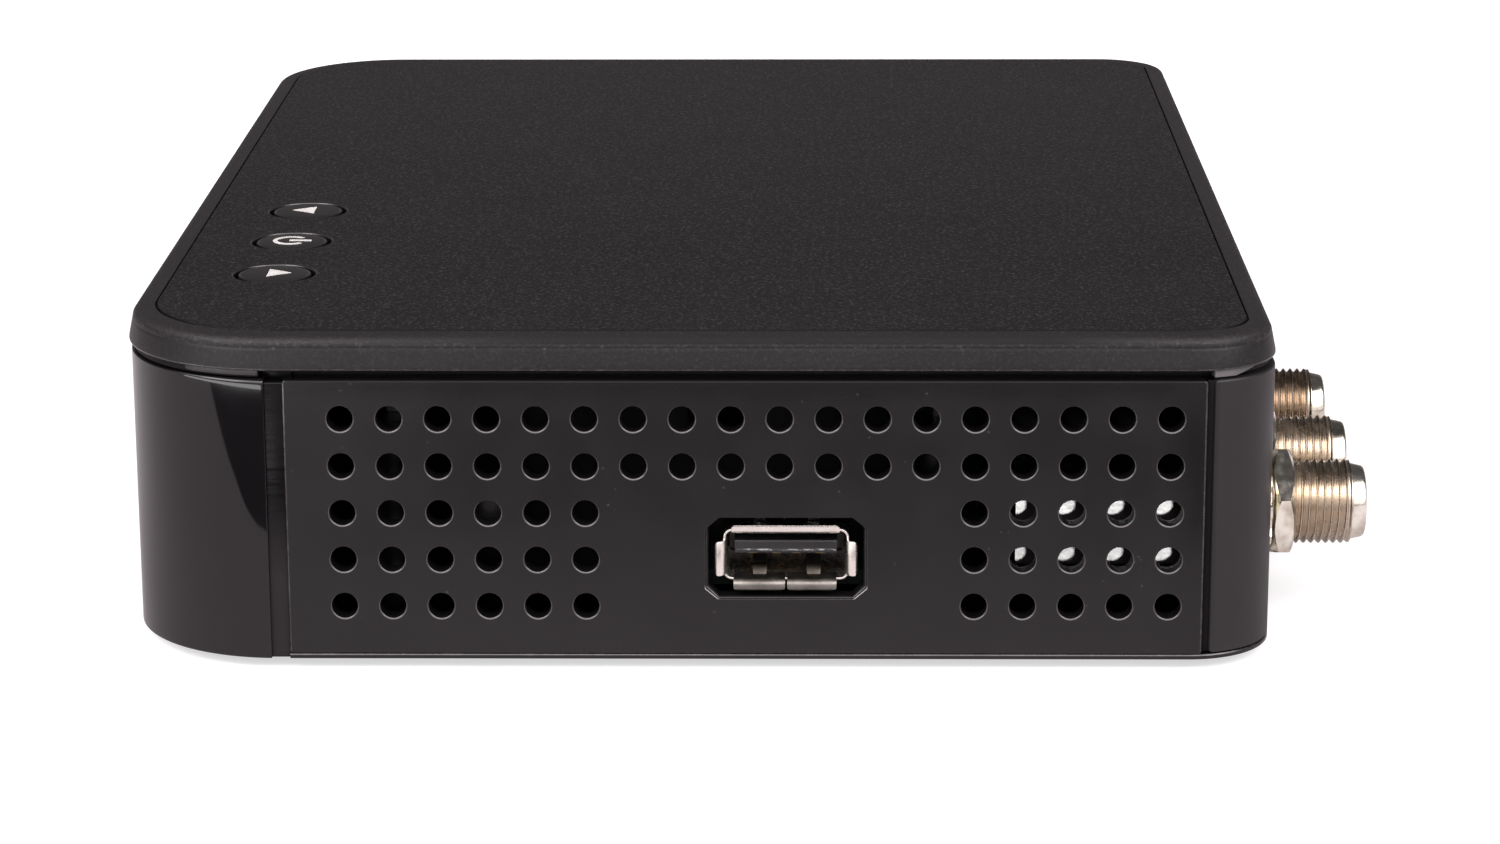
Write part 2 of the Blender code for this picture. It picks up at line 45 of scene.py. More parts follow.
WIDTH, DEPTH = 158.0, 119.7
OVERHANG, REACH, FOOT = 0.45, 11.1, 1.2
FRONT = (REACH + DEPTH + OVERHANG) / -2 + OVERHANG
WALL = 2.2
R_FRONT, R_BACK = 16.3, 8.9
WALL_TOP, PANEL_TOP, SKIRT_LOW, COVER_TOP, COVER_IN = 29.88, 30.0, 30.85, 34.5, 32.5
PANEL_END, SIDE_START, SIDE_END = 15.7, 17.6, 112.05
VENT_R, VENT_PITCH, VENT_D, VENT_Z = 1.4, 5.0, 23.43, 25.81
USB_D, USB_Z, WINDOW_Z = 69.07, 10.94, 10.90
KEY_D = 13.66
KEYS = {"channel_up": 27.9, "power": 43.6, "channel_down": 59.3}
KEY_HOLE_R, KEY_R = 4.42, 3.96
AERIAL_S, AERIAL_Z = (19.8, 37.6, 58.2), 11.4
HDMI_S, LAN_S, AV_S, DC_S = 80.0, 102.0, 121.5, 140.0
CASE_BOSS = ((11.0, 28.0), (147.0, 28.0), (9.0, 85.0), (149.0, 85.0))
FEET = ((15.0, 15.0), (143.0, 15.0), (15.0, 105.0), (143.0, 105.0))
HX = WIDTH / 2


def P(s, d, z):
    """A place as x, y, z in millimetres above the underside of the case."""
    return (HX - s, d + FRONT, z)


# ------------------------------------------------------------------ meshes
class Shape:
    """Rings of points joined by faces; lengths in millimetres."""

    def __init__(self):
        self.v, self.f, self.flat, self.mi = [], [], [], []
        self.finish = 0

    def ring(self, pts):
        start = len(self.v)
        self.v.extend(tuple(p) for p in pts)
        return list(range(start, len(self.v)))

    def face(self, ids, flat=False):
        out = []
        for i in ids:
            if not out or i != out[-1]:
                out.append(i)
        if len(out) > 1 and out[0] == out[-1]:
            out.pop()
        if len(set(out)) > 2:
            self.f.append(tuple(out))
            self.flat.append(flat)
            self.mi.append(self.finish)

    def bridge(self, a, b, closed=True, flat=False):
        n = len(a)
        for i in range(n if closed else n - 1):
            j = (i + 1) % n
            self.face((a[i], a[j], b[j], b[i]), flat)

    def rings(self, loops, closed=True, flat=False):
        for a, b in zip(loops, loops[1:]):
            self.bridge(a, b, closed, flat)
        return loops[-1]

    def cap(self, loop):
        self.face(loop, True)

    def fill(self, outer, holes=()):
        """A flat face with holes, as triangles."""
        ids = list(outer)
        polys = [[Vector(self.v[i]) for i in outer]]
        for h in holes:
            ids += h
            polys.append([Vector(self.v[i]) for i in h])
        for t in geometry.tessellate_polygon(polys):
            self.face([ids[i] for i in t], True)

    def add(self, other, matrix=None):
        start = len(self.v)
        for p in other.v:
            self.v.append(tuple(matrix @ Vector(p)) if matrix is not None else p)
        self.f += [tuple(i + start for i in f) for f in other.f]
        self.flat += other.flat
        self.mi += other.mi
        return self

    def mesh(self, name, weld=True, angle=35.0):
        me = bpy.data.meshes.new(name)
        me.from_pydata([(x * MM, y * MM, (z + FOOT) * MM) for x, y, z in self.v], [], self.f)
        me.polygons.foreach_set("use_smooth", [not f for f in self.flat])
        me.polygons.foreach_set("material_index", self.mi)
        bm = bmesh.new()
        bm.from_mesh(me)
        if weld:
            bmesh.ops.remove_doubles(bm, verts=bm.verts, dist=2e-7)
        bmesh.ops.recalc_face_normals(bm, faces=bm.faces)
        for e in bm.edges:
            if len(e.link_faces) == 2 and e.calc_face_angle(0.0) > math.radians(angle):
                e.smooth = False
        bm.to_mesh(me)
        bm.free()
        return me

    def build(self, name, mat, slot=None, body=BODY, replaces=(), weld=True, angle=35.0, more=()):
        ob = bpy.data.objects.new(name, self.mesh(name, weld, angle))
        scene.collection.objects.link(ob)
        for m in (mat, *more):
            ob.data.materials.append(m)
        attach(ob, body)
        if replaces:
            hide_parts(*replaces)
        return ob


def arc(cx, cy, r, a0, a1, n):
    """Points with their outward normals, angles in degrees."""
    out = []
    for i in range(n + 1):
        a = math.radians(a0 + (a1 - a0) * i / n)
        c, s = math.cos(a), math.sin(a)
        out.append((cx + r * c, cy + r * s, c, s))
    return out


def straight(a, b, support=0.5):
    """Two points near the ends of the straight between two bends keep its shading flat."""
    (x0, y0, _, _), (x1, y1, _, _) = a, b
    length = math.hypot(x1 - x0, y1 - y0)
    ux, uy = (x1 - x0) / length, (y1 - y0) / length
    nx, ny = uy, -ux
    return [(x0 + ux * support, y0 + uy * support, nx, ny), (x1 - ux * support, y1 - uy * support, nx, ny)]


def outline(overhang=0.0, nf=36, nb=24):
    """Plan outline of the body as x, y and outward normal, anticlockwise from above."""
    y0, y1 = FRONT - overhang, FRONT + DEPTH
    parts = [arc(HX - R_FRONT, y0 + R_FRONT, R_FRONT, -90, 0, nf), arc(HX - R_BACK, y1 - R_BACK, R_BACK, 0, 90, nb),
             arc(-HX + R_BACK, y1 - R_BACK, R_BACK, 90, 180, nb), arc(-HX + R_FRONT, y0 + R_FRONT, R_FRONT, 180, 270, nf)]
    pts = []
    for i, p in enumerate(parts):
        pts += p
        pts += straight(p[-1], parts[(i + 1) % 4][0])
    return pts


def inset(path, t, z):
    return [(x - nx * t, y - ny * t, z) for x, y, nx, ny in path]


def rrect(x0, x1, y0, y1, r, n=4):
    """A closed rectangle with rounded corners, from radii for (x1,y0), (x1,y1), (x0,y1), (x0,y0)."""
    if not isinstance(r, (tuple, list)):
        r = (r, r, r, r)
    out = []
    for cx, cy, rr, a in ((x1, y0, r[0], -90), (x1, y1, r[1], 0), (x0, y1, r[2], 90), (x0, y0, r[3], 180)):
        rr = max(rr, 0.001)
        sx = -1 if cx == x1 else 1
        sy = -1 if cy == y1 else 1
        for i in range(n + 1):
            w = math.radians(a + 90 * i / n)
            out.append((cx + sx * rr + rr * math.cos(w), cy + sy * rr + rr * math.sin(w)))
    return out


def sweep(path, section, fillet=0.0, steps=4, closed=False, by_place=False):
    """A solid that follows a plan path. section(shrink) gives (inset, z) points of its closed profile.

    With by_place, section also gets the place along y.
    """
    sh = Shape()

    def at(p, shrink, along=(0.0, 0.0)):
        x, y, nx, ny = p
        pts = section(shrink, y) if by_place else section(shrink)
        return [(x + along[0] - nx * t, y + along[1] - ny * t, z) for t, z in pts]

    loops = []
    if closed:
        for p in path:
            loops.append(sh.ring(at(p, 0.0)))
        sh.rings(loops + [loops[0]])
        return sh
    n = len(path)
    for end in (0, 1):
        p = path[0] if end == 0 else path[-1]
        x, y, nx, ny = p
        tx, ty = (-ny, nx) if end == 0 else (ny, -nx)
        rows = []
        for k in range(steps + 1):
            w = math.pi / 2 * k / steps
            a, sk = fillet * (1 - math.cos(w)), fillet * (1 - math.sin(w))
            rows.append(sh.ring(at(p, sk, (tx * a, ty * a))))
        if end == 0:
            head = rows
        else:
            tail = rows
    mid = [sh.ring(at(p, 0.0)) for p in path[1:-1]]
    sh.rings(head + mid + tail[::-1])
    sh.cap(head[0])
    sh.cap(tail[0])
    return sh


def block(s0, s1, d0, d1, z0, z1, r=0.15, n=2):
    """A block with all its edges rounded."""
    sh = Shape()
    rows = []
    steps = n + 1

    def loop(shrink, z):
        return [P(s, d, z) for s, d in rrect(s0 + shrink, s1 - shrink, d0 + shrink, d1 - shrink, max(r - shrink, 0.002), n)]

    for k in range(steps + 1):
        w = math.pi / 2 * k / steps
        rows.append(sh.ring(loop(r * (1 - math.sin(w)), z0 + r * (1 - math.cos(w)))))
    for k in range(steps, -1, -1):
        w = math.pi / 2 * k / steps
        rows.append(sh.ring(loop(r * (1 - math.sin(w)), z1 - r * (1 - math.cos(w)))))
    sh.rings(rows)
    sh.cap(rows[0])
    sh.cap(rows[-1])
    return sh


def lathe(profile, s, d, z, axis="Z", n=48, closed=False):
    """A turned solid: (radius, height) points; a closed profile gives a ring."""
    sh = Shape()
    m = {"Z": Matrix.Identity(4), "Y": Matrix.Rotation(-math.pi / 2, 4, "X"), "X": Matrix.Rotation(math.pi / 2, 4, "Y")}[axis]
    m = Matrix.Translation(P(s, d, z)) @ m
    loops = []
    for r, h in profile:
        if r < 1e-6:
            i = sh.ring([m @ Vector((0, 0, h))])[0]
            loops.append([i] * n)
        else:
            loops.append(sh.ring([m @ Vector((r * math.cos(2 * math.pi * i / n), r * math.sin(2 * math.pi * i / n), h))
                                  for i in range(n)]))
    if closed:
        loops.append(loops[0])
    sh.rings(loops)
    return sh


def circle(cu, cv, r, n=32):
    return [(cu + r * math.cos(2 * math.pi * i / n), cv + r * math.sin(2 * math.pi * i / n)) for i in range(n)]


def boolean(ob, shape, operation="DIFFERENCE"):
    """Cuts ob with a shape and keeps the result as its mesh."""
    other = bpy.data.objects.new("cutter", shape.mesh("cutter"))
    scene.collection.objects.link(other)
    m = ob.modifiers.new("cut", "BOOLEAN")
    m.operation, m.object, m.solver = operation, other, "EXACT"
    bpy.context.view_layer.update()
    me = bpy.data.meshes.new_from_object(ob.evaluated_get(bpy.context.evaluated_depsgraph_get()))
    ob.modifiers.remove(m)
    old = ob.data
    me.name = old.name
    ob.data = me
    bpy.data.meshes.remove(old)
    bpy.data.objects.remove(other)
    return ob


def weighted(ob):
    m = ob.modifiers.new("normals", "WEIGHTED_NORMAL")
    m.keep_sharp = True
    return ob


# ------------------------------------------------------------------ materials
class Mat:
    """Builds a procedural surface: colour drift, grain, wear, painted light and shade, and fine relief in object space.
    """

    def __init__(self, name, colour, rough, metal=0.0, coat=0.0, coat_rough=0.05, ior=1.5, spec=0.5, transmission=0.0):
        self.m = bpy.data.materials.new(name)
        self.m.use_nodes = True
        self.t = self.m.node_tree
        self.p = self.t.nodes["Principled BSDF"]
        i = self.p.inputs
        i["Metallic"].default_value = metal
        i["IOR"].default_value = ior
        i["Specular IOR Level"].default_value = spec
        i["Coat Weight"].default_value = coat
        i["Coat Roughness"].default_value = coat_rough
        i["Transmission Weight"].default_value = transmission
        i["Roughness"].default_value = rough
        i["Base Color"].default_value = (*colour, 1.0)
        self.coord = self.t.nodes.new("ShaderNodeTexCoord").outputs["Object"]
        self.colour = None
        self.rough_base = rough
        self.rough = None
        self.height = None
        self.base = colour

    def node(self, kind, **props):
        n = self.t.nodes.new(kind)
        for k, v in props.items():
            setattr(n, k, v)
        return n

    def link(self, a, b):
        self.t.links.new(a, b)

    def noise(self, scale, detail=3.0, rough=0.55, stretch=None, distortion=0.0):
        n = self.node("ShaderNodeTexNoise")
        n.inputs["Scale"].default_value = scale
        n.inputs["Detail"].default_value = detail
        n.inputs["Roughness"].default_value = rough
        n.inputs["Distortion"].default_value = distortion
        src = self.coord
        if stretch:
            mp = self.node("ShaderNodeMapping")
            mp.inputs["Scale"].default_value = stretch
            self.link(self.coord, mp.inputs["Vector"])
            src = mp.outputs["Vector"]
        self.link(src, n.inputs["Vector"])
        return n.outputs["Fac"]

    def voronoi(self, scale, feature="F1", randomness=1.0):
        n = self.node("ShaderNodeTexVoronoi", feature=feature)
        n.inputs["Scale"].default_value = scale
        n.inputs["Randomness"].default_value = randomness
        self.link(self.coord, n.inputs["Vector"])
        return n.outputs["Distance"]

    def remap(self, value, a, b, c=0.0, d=1.0):
        n = self.node("ShaderNodeMapRange")
        for k, v in zip(("From Min", "From Max", "To Min", "To Max"), (a, b, c, d)):
            n.inputs[k].default_value = v
        self.link(value, n.inputs["Value"])
        return n.outputs["Result"]

    def math(self, op, a, b):
        n = self.node("ShaderNodeMath", operation=op)
        for s, v in zip(n.inputs, (a, b)):
            if isinstance(v, (int, float)):
                s.default_value = v
            else:
                self.link(v, s)
        return n.outputs[0]

    def blend_colour(self, fac, other):
        """The colour goes to other where fac is 1."""
        n = self.node("ShaderNodeMix", data_type="RGBA")
        self.link(fac, n.inputs["Factor"])
        if self.colour is None:
            n.inputs[6].default_value = (*self.base, 1.0)
        else:
            self.link(self.colour, n.inputs[6])
        n.inputs[7].default_value = (*other, 1.0)
        self.colour = n.outputs[2]
        return self

    def drift(self, amount=0.25, scale=70.0, detail=3.0, tint=None, stretch=None):
        """Slow change of tone over the surface."""
        other = tint or tuple(min(1.0, c * (1.0 + amount)) for c in self.base)
        return self.blend_colour(self.remap(self.noise(scale, detail, stretch=stretch), 0.35, 0.7), other)

    def specks(self, scale, size, other, strength=0.7, mask=None):
        """Sparse small dots, such as dust or moulding grains."""
        dots = self.remap(self.voronoi(scale), 0.0, size, strength, 0.0)
        few = self.remap(self.noise(scale * 0.37, 1.0), 0.6, 0.68)
        fac = self.math("MULTIPLY", dots, few)
        if mask is not None:
            fac = self.math("MULTIPLY", fac, mask)
        return self.blend_colour(fac, other)

    def rough_noise(self, amount, scale=90.0, detail=3.0, stretch=None):
        v = self.remap(self.noise(scale, detail, stretch=stretch), 0.3, 0.7, -amount, amount)
        self.rough = self.math("ADD", v, self.rough if self.rough is not None else self.rough_base)
        return self

    def rough_mask(self, mask, amount):
        v = self.math("MULTIPLY", mask, amount)
        self.rough = self.math("ADD", v, self.rough if self.rough is not None else self.rough_base)
        return self

    def relief(self, value, amount):
        """Adds a height in millimetres to the fine relief."""
        v = self.math("MULTIPLY", value, amount)
        self.height = v if self.height is None else self.math("ADD", v, self.height)
        return self

    def above(self, z, soft=0.15):
        """1 above a height over the underside of the case, 0 below."""
        n = self.node("ShaderNodeSeparateXYZ")
        self.link(self.coord, n.inputs[0])
        return self.remap(n.outputs["Z"], (z + FOOT - soft) * MM, (z + FOOT + soft) * MM)

    def done(self):
        if self.colour is not None:
            self.link(self.colour, self.p.inputs["Base Color"])
        if self.rough is not None:
            n = self.node("ShaderNodeClamp")
            n.inputs["Min"].default_value = 0.02
            self.link(self.rough, n.inputs["Value"])
            self.link(n.outputs[0], self.p.inputs["Roughness"])
        if self.height is not None:
            b = self.node("ShaderNodeBump")
            b.inputs["Strength"].default_value = 1.0
            b.inputs["Distance"].default_value = MM
            self.link(self.height, b.inputs["Height"])
            self.link(b.outputs["Normal"], self.p.inputs["Normal"])
        return self.m


def plastic(name, colour, rough, fine=0.0015, grain=0.004, spec=0.5, drift=0.3):
    m = Mat(name, colour, rough, spec=spec)
    m.drift(drift, 55.0)
    m.rough_noise(0.04, 130.0)
    m.relief(m.noise(2600.0, 2.0), grain)
    m.relief(m.noise(220.0, 2.0), fine)
    return m


def make_case():
    m = plastic("case_satin_black", (0.0030, 0.0026, 0.0028), 0.36, fine=0.002, grain=0.0035, spec=0.44)
    n = m.node("ShaderNodeSeparateXYZ")
    m.link(m.coord, n.inputs[0])
    ends = m.math("MAXIMUM", m.above(28.3, 0.9), m.remap(n.outputs["Y"], (FRONT + 107.5) * MM, (FRONT + 111.0) * MM))
    m.rough_mask(ends, -0.12)
    m.specks(900.0, 0.16, (0.09, 0.085, 0.085), 0.5)
    return m.done()


def make_rear():
    """The rear wall, a touch duller than the sides."""
    m = plastic("rear_satin_black", (0.0088, 0.0080, 0.0084), 0.44, fine=0.002, grain=0.0035, spec=0.40)
    m.specks(900.0, 0.16, (0.09, 0.085, 0.085), 0.5)
    return m.done()


def make_edge_highlight():
    """The same plastic, glossier and paler on its rounded edges: the paler colour is a painted highlight."""
    m = Mat("case_edge_painted_highlight", (0.012, 0.011, 0.0115), 0.20, spec=0.62)
    m.blend_colour(m.remap(m.noise(900.0, 3.0, 0.6), 0.45, 0.65), (0.034, 0.032, 0.033))
    m.rough_noise(0.06, 800.0)
    m.relief(m.noise(2600.0, 2.0), 0.003)
    return m.done()


def make_rim_highlight():
    """Rims of the vents and the socket window, paler than the wall as a painted highlight, less pale round the window's
    inside and palest at its lower corners.
    """
    m = Mat("rim_painted_highlight", (0.038, 0.036, 0.037), 0.26, spec=0.62)
    n = m.node("ShaderNodeSeparateXYZ")
    m.link(m.coord, n.inputs[0])
    side = m.math("ABSOLUTE", m.math("SUBTRACT", n.outputs["Y"], (FRONT + USB_D) * MM), 0.0)
    corner = m.math("MULTIPLY", m.remap(side, 6.85 * MM, 7.1 * MM), m.math("SUBTRACT", 1.0, m.above(WINDOW_Z - 3.0, 0.12)))
    inside = m.math("MULTIPLY", m.remap(side, 9.0 * MM, 9.3 * MM, 1.0, 0.0), m.math("SUBTRACT", 1.0, m.above(17.5, 0.2)))
    # less of the paler rim colour round the inside of the socket window
    m.blend_colour(m.math("MULTIPLY", inside, 0.75), (0.012, 0.011, 0.011))
    outer = m.remap(m.math("ABSOLUTE", n.outputs["X"], 0.0), (HX - 0.16) * MM, (HX - 0.09) * MM, 0.22, 1.0)
    # palest at the window's lower corners and at the outer face: a painted highlight
    m.blend_colour(m.math("MULTIPLY", m.math("MULTIPLY", corner, inside), outer), (0.24, 0.23, 0.23))
    m.rough_noise(0.06, 400.0)
    m.relief(m.noise(1800.0, 3.0), 0.002)
    return m.done()


def make_cover():
    m = Mat("cover_grain_and_painted_light", (0.0052, 0.0047, 0.0049), 0.40, spec=0.30)
    m.drift(0.25, 60.0)
    top = m.math("ADD", m.math("MULTIPLY", m.above(33.35, 0.35), 0.7), 0.3)
    grain = m.noise(2400.0, 3.0, 0.62)
    m.blend_colour(m.math("MULTIPLY", m.remap(grain, 0.54, 0.70), m.math("MULTIPLY", top, 0.9)), (0.034, 0.031, 0.031))
    m.blend_colour(m.math("MULTIPLY", m.remap(m.noise(2600.0, 2.0, 0.6), 0.58, 0.70), m.math("MULTIPLY", top, 0.6)), (0.050, 0.046, 0.046))
    # a paler band between the bevel and the groove, where the surface mirrors the dark overhead: painted light
    lit_band = m.math("MULTIPLY", m.above(33.75, 0.15), m.math("SUBTRACT", 1.0, m.above(34.455, 0.02)))
    m.blend_colour(m.math("MULTIPLY", lit_band, 0.6), (0.020, 0.0185, 0.0187))
    n = m.node("ShaderNodeSeparateXYZ")
    m.link(m.coord, n.inputs[0])
    along = m.math("MULTIPLY", m.remap(n.outputs["Y"], (FRONT + 17.0) * MM, (FRONT + 44.0) * MM),
                   m.remap(n.outputs["Y"], (FRONT + 96.0) * MM, (FRONT + 112.0) * MM, 1.0, 0.0))
    bevel = m.math("MULTIPLY", m.above(33.52, 0.10), m.math("SUBTRACT", 1.0, m.above(34.3, 0.05)))
    skirt = m.math("SUBTRACT", 1.0, m.above(33.12, 0.05))
    dull = m.math("SUBTRACT", m.math("MULTIPLY", bevel, 0.36), m.math("MULTIPLY", skirt, 0.09))
    m.rough_mask(dull, along)
    # the bevel held at the dark base colour along the middle of the side, so its highlight is weaker there: painted
    # shade
    m.blend_colour(m.math("MULTIPLY", m.math("MULTIPLY", bevel, along), 0.75), (0.0050, 0.0045, 0.0047))
    # the top turns paler towards its far side: a painted reflection of the grazing view
    m.blend_colour(m.math("MULTIPLY", top, m.remap(n.outputs["X"], 40.0 * MM, -60.0 * MM, 0.0, 0.12)), (0.040, 0.037, 0.037))
    m.rough_mask(top, 0.12)
    m.rough_noise(0.03, 120.0)
    m.relief(m.math("MULTIPLY", grain, top), 0.075)
    m.relief(m.noise(2600.0, 2.0), 0.004)
    m.specks(420.0, 0.10, (0.12, 0.11, 0.105), 0.6)
    return m.done()


def make_gloss():
    m = Mat("front_gloss_black", (0.0036, 0.0033, 0.0037), 0.045, spec=0.46)
    m.drift(0.5, 35.0)
    m.rough_noise(0.012, 140.0)
    m.relief(m.noise(26.0, 1.0), 0.010)
    m.specks(700.0, 0.07, (0.10, 0.09, 0.085), 0.35)
    return m.done()


def make_channel():
    # a darker, duller copy of the black plastic for the channel beside the front panel: painted shade, dark at the top
    # under the cover, paler towards the bottom as painted light from the table
    m = Mat("channel_black_painted_shade", (0.0016, 0.0014, 0.0016), 0.26, spec=0.17)
    m.drift(0.4, 80.0)
    low = m.math("SUBTRACT", 1.0, m.above(13.0, 4.5))
    m.blend_colour(low, (0.0145, 0.0130, 0.0138))
    m.rough_mask(low, 0.18)
    m.rough_noise(0.06, 400.0, stretch=(0.2, 0.2, 3.0))
    m.relief(m.noise(330.0, 2.0, stretch=(0.08, 0.08, 3.0)), 0.05)
    return m.done()


def make_key():
    m = plastic("key_black", (0.0062, 0.0056, 0.0058), 0.26, grain=0.004)
    return m.done()


def make_icon():
    m = Mat("key_print_white", (0.66, 0.65, 0.63), 0.42)
    m.drift(0.0, 900.0, tint=(0.55, 0.54, 0.52))
    m.relief(m.noise(3000.0, 2.0), 0.004)
    return m.done()


def make_lip():
    """Polished, with a pale painted highlight, at the start of the corner; dull further round."""
    m = Mat("lip_black_painted_highlight", (0.0022, 0.0020, 0.0021), 0.14, spec=0.9)
    n = m.node("ShaderNodeSeparateXYZ")
    m.link(m.coord, n.inputs[0])
    start = (FRONT + DEPTH) * MM
    polish_and_highlight = m.remap(n.outputs["Y"], start - 5.2 * MM, start - 1.6 * MM, 1.0, 0.0)
    m.rough_mask(m.math("SUBTRACT", 1.0, polish_and_highlight), 0.20)
    # pale colour where polished: a painted highlight
    m.blend_colour(m.math("MULTIPLY", polish_and_highlight, 0.8), (0.11, 0.105, 0.107))
    m.rough_noise(0.05, 180.0)
    m.relief(m.noise(1800.0, 3.0), 0.002)
    return m.done()


def make_can():
    """Tinplate, darker on its top."""
    m = Mat("tuner_tinplate", (0.055, 0.054, 0.053), 0.42, metal=1.0)
    m.drift(-0.3, 500.0)
    m.blend_colour(m.above(17.55, 0.1), (0.010, 0.010, 0.010))
    m.rough_noise(0.06, 1500.0)
    m.relief(m.noise(1800.0, 3.0), 0.02)
    return m.done()


def make_scuffed():
    """Tongue edge with the white rub marks of plugs."""
    m = Mat("tongue_scuffed", (0.020, 0.020, 0.021), 0.40)
    m.blend_colour(m.remap(m.noise(2200.0, 3.0, 0.7, stretch=(1.0, 0.7, 1.0)), 0.50, 0.60), (0.26, 0.26, 0.27))
    m.relief(m.noise(2600.0, 2.0), 0.02)
    return m.done()


def make_nickel(name, colour, rough, brushed=(1.0, 1.0, 1.0), tint=(0.50, 0.42, 0.33), scratch=0.004, dents=0.006, pits=0.6, uneven=0.09):
    m = Mat(name, colour, rough, metal=1.0)
    m.blend_colour(m.remap(m.noise(420.0, 4.0, 0.6), 0.42, 0.72), tint)
    m.rough_noise(uneven, 700.0, 3.0)
    m.relief(m.noise(1400.0, 3.0, 0.6, stretch=brushed), scratch)
    m.relief(m.noise(260.0, 2.0), dents)
    if pits:
        m.specks(1500.0, 0.13, (0.10, 0.065, 0.04), pits)
    return m.done()


def make_board():
    m = Mat("circuit_board_green", (0.0018, 0.0085, 0.0042), 0.40, coat=0.3, coat_rough=0.2)
    m.blend_colour(m.remap(m.voronoi(260.0, "DISTANCE_TO_EDGE"), 0.02, 0.05, 0.55, 0.0), (0.0050, 0.024, 0.011))
    m.drift(0.3, 90.0)
    m.relief(m.noise(900.0, 2.0), 0.01)
    return m.done()


def simple(name, colour, rough, metal=0.0, scale=120.0, grain=0.004, drift=0.3, coat=0.0, spec=0.5, stretch=None):
    m = Mat(name, colour, rough, metal=metal, coat=coat, spec=spec)
    m.drift(drift, scale, stretch=stretch)
    m.rough_noise(0.06, scale * 3)
    m.relief(m.noise(1800.0, 3.0, stretch=stretch), grain)
    return m.done()


CASE = make_case()
# paler colour on rounded edges: painted highlight
EDGE_HIGHLIGHT = make_edge_highlight()
COVER = make_cover()
GLOSS = make_gloss()
CHANNEL = make_channel()
# a darker, duller copy of the black plastic for bores, grooves, joints and gaps: painted shade
SHADE_BLACK = simple("case_black_painted_shade", (0.0018, 0.0016, 0.0017), 0.55, spec=0.16, grain=0.006)
REAR = make_rear()
# paler rim colour: painted highlight
RIM_HIGHLIGHT = make_rim_highlight()
LIP = make_lip()
# a paler copy of the black plastic for the ledge under the cover's front corners: painted light
LEDGE_LIT = simple("ledge_painted_light", (0.020, 0.018, 0.018), 0.34, spec=0.42, grain=0.01)
KEY = make_key()
KEY_RIM = simple("key_rim_polished", (0.015, 0.0138, 0.014), 0.14, spec=0.64, grain=0.001)
ICON = make_icon()
NICKEL = make_nickel("socket_nickel", (0.66, 0.585, 0.49), 0.26, tint=(0.62, 0.52, 0.41), scratch=0.002, dents=0.003)
# a darker copy of the socket nickel for the back socket: painted shade
NICKEL_SHADED = make_nickel("socket_nickel_painted_shade", (0.46, 0.375, 0.29), 0.27, scratch=0.002, dents=0.003)
# a brighter copy of the socket nickel for nuts, washers and socket tips: the extra brightness is painted light
NUT_PAINTED_LIGHT = make_nickel("nut_nickel_painted_light", (1.0, 0.98, 0.87), 0.17, scratch=0.001, dents=0.002)
SHELL = make_nickel("usb_steel", (0.93, 0.90, 0.85), 0.27, tint=(0.86, 0.80, 0.72), scratch=0.0, dents=0.0003, pits=0.0, uneven=0.02)
DULL_STEEL = make_nickel("usb_dull_steel", (0.17, 0.16, 0.145), 0.36, tint=(0.09, 0.085, 0.075), scratch=0.012, dents=0.004, pits=0.25)
SCUFFED = make_scuffed()
# a near-black copy of the shell steel for the springs inside the shell: painted shade
SPRING_SHADED = make_nickel("spring_steel_painted_shade", (0.060, 0.054, 0.046), 0.40, tint=(0.035, 0.030, 0.026))
PORT_STEEL = make_nickel("port_steel", (0.66, 0.63, 0.59), 0.28, tint=(0.55, 0.52, 0.48))
BOARD = make_board()
INSULATOR = simple("insulator_ivory", (0.72, 0.70, 0.63), 0.38)
TONGUE = simple("tongue_black", (0.011, 0.011, 0.012), 0.33, grain=0.03)
GOLD = simple("contact_gold", (0.78, 0.55, 0.22), 0.25, metal=1.0)
RUBBER = simple("foot_rubber", (0.014, 0.014, 0.014), 0.80, grain=0.02)
LENS = simple("lens_smoked", (0.010, 0.004, 0.004), 0.05, scale=40.0, grain=0.0005, coat=0.5)
JACK = simple("jack_black", (0.018, 0.018, 0.019), 0.38)
AVMAT = simple("jack_yellow", (0.62, 0.42, 0.03), 0.38)
SCREW = simple("screw_steel", (0.42, 0.42, 0.43), 0.30, metal=1.0)
CAN = make_can()
SINK = simple("sink_aluminium", (0.60, 0.61, 0.62), 0.42, metal=1.0)
CHIP = simple("chip_resin", (0.018, 0.018, 0.019), 0.48, grain=0.01)
SLEEVE = simple("capacitor_sleeve", (0.012, 0.016, 0.05), 0.30)
FERRITE = simple("ferrite", (0.05, 0.05, 0.055), 0.60, grain=0.02)
FILM = simple("ribbon_film", (0.70, 0.69, 0.64), 0.40)
RED = simple("indicator_red", (0.45, 0.02, 0.015), 0.12)
DISPLAY = simple("display_smoke", (0.045, 0.045, 0.05), 0.20)
SWITCH = simple("switch_black", (0.02, 0.02, 0.02), 0.45)
PLUNGER = simple("switch_plunger", (0.30, 0.25, 0.18), 0.40)


# ------------------------------------------------------------------ side plates
def vents():
    for row in range(5):
        for col in range(18):
            if not (2 <= row and 6 <= col <= 12):
                yield VENT_D + VENT_PITCH * col, VENT_Z - VENT_PITCH * row


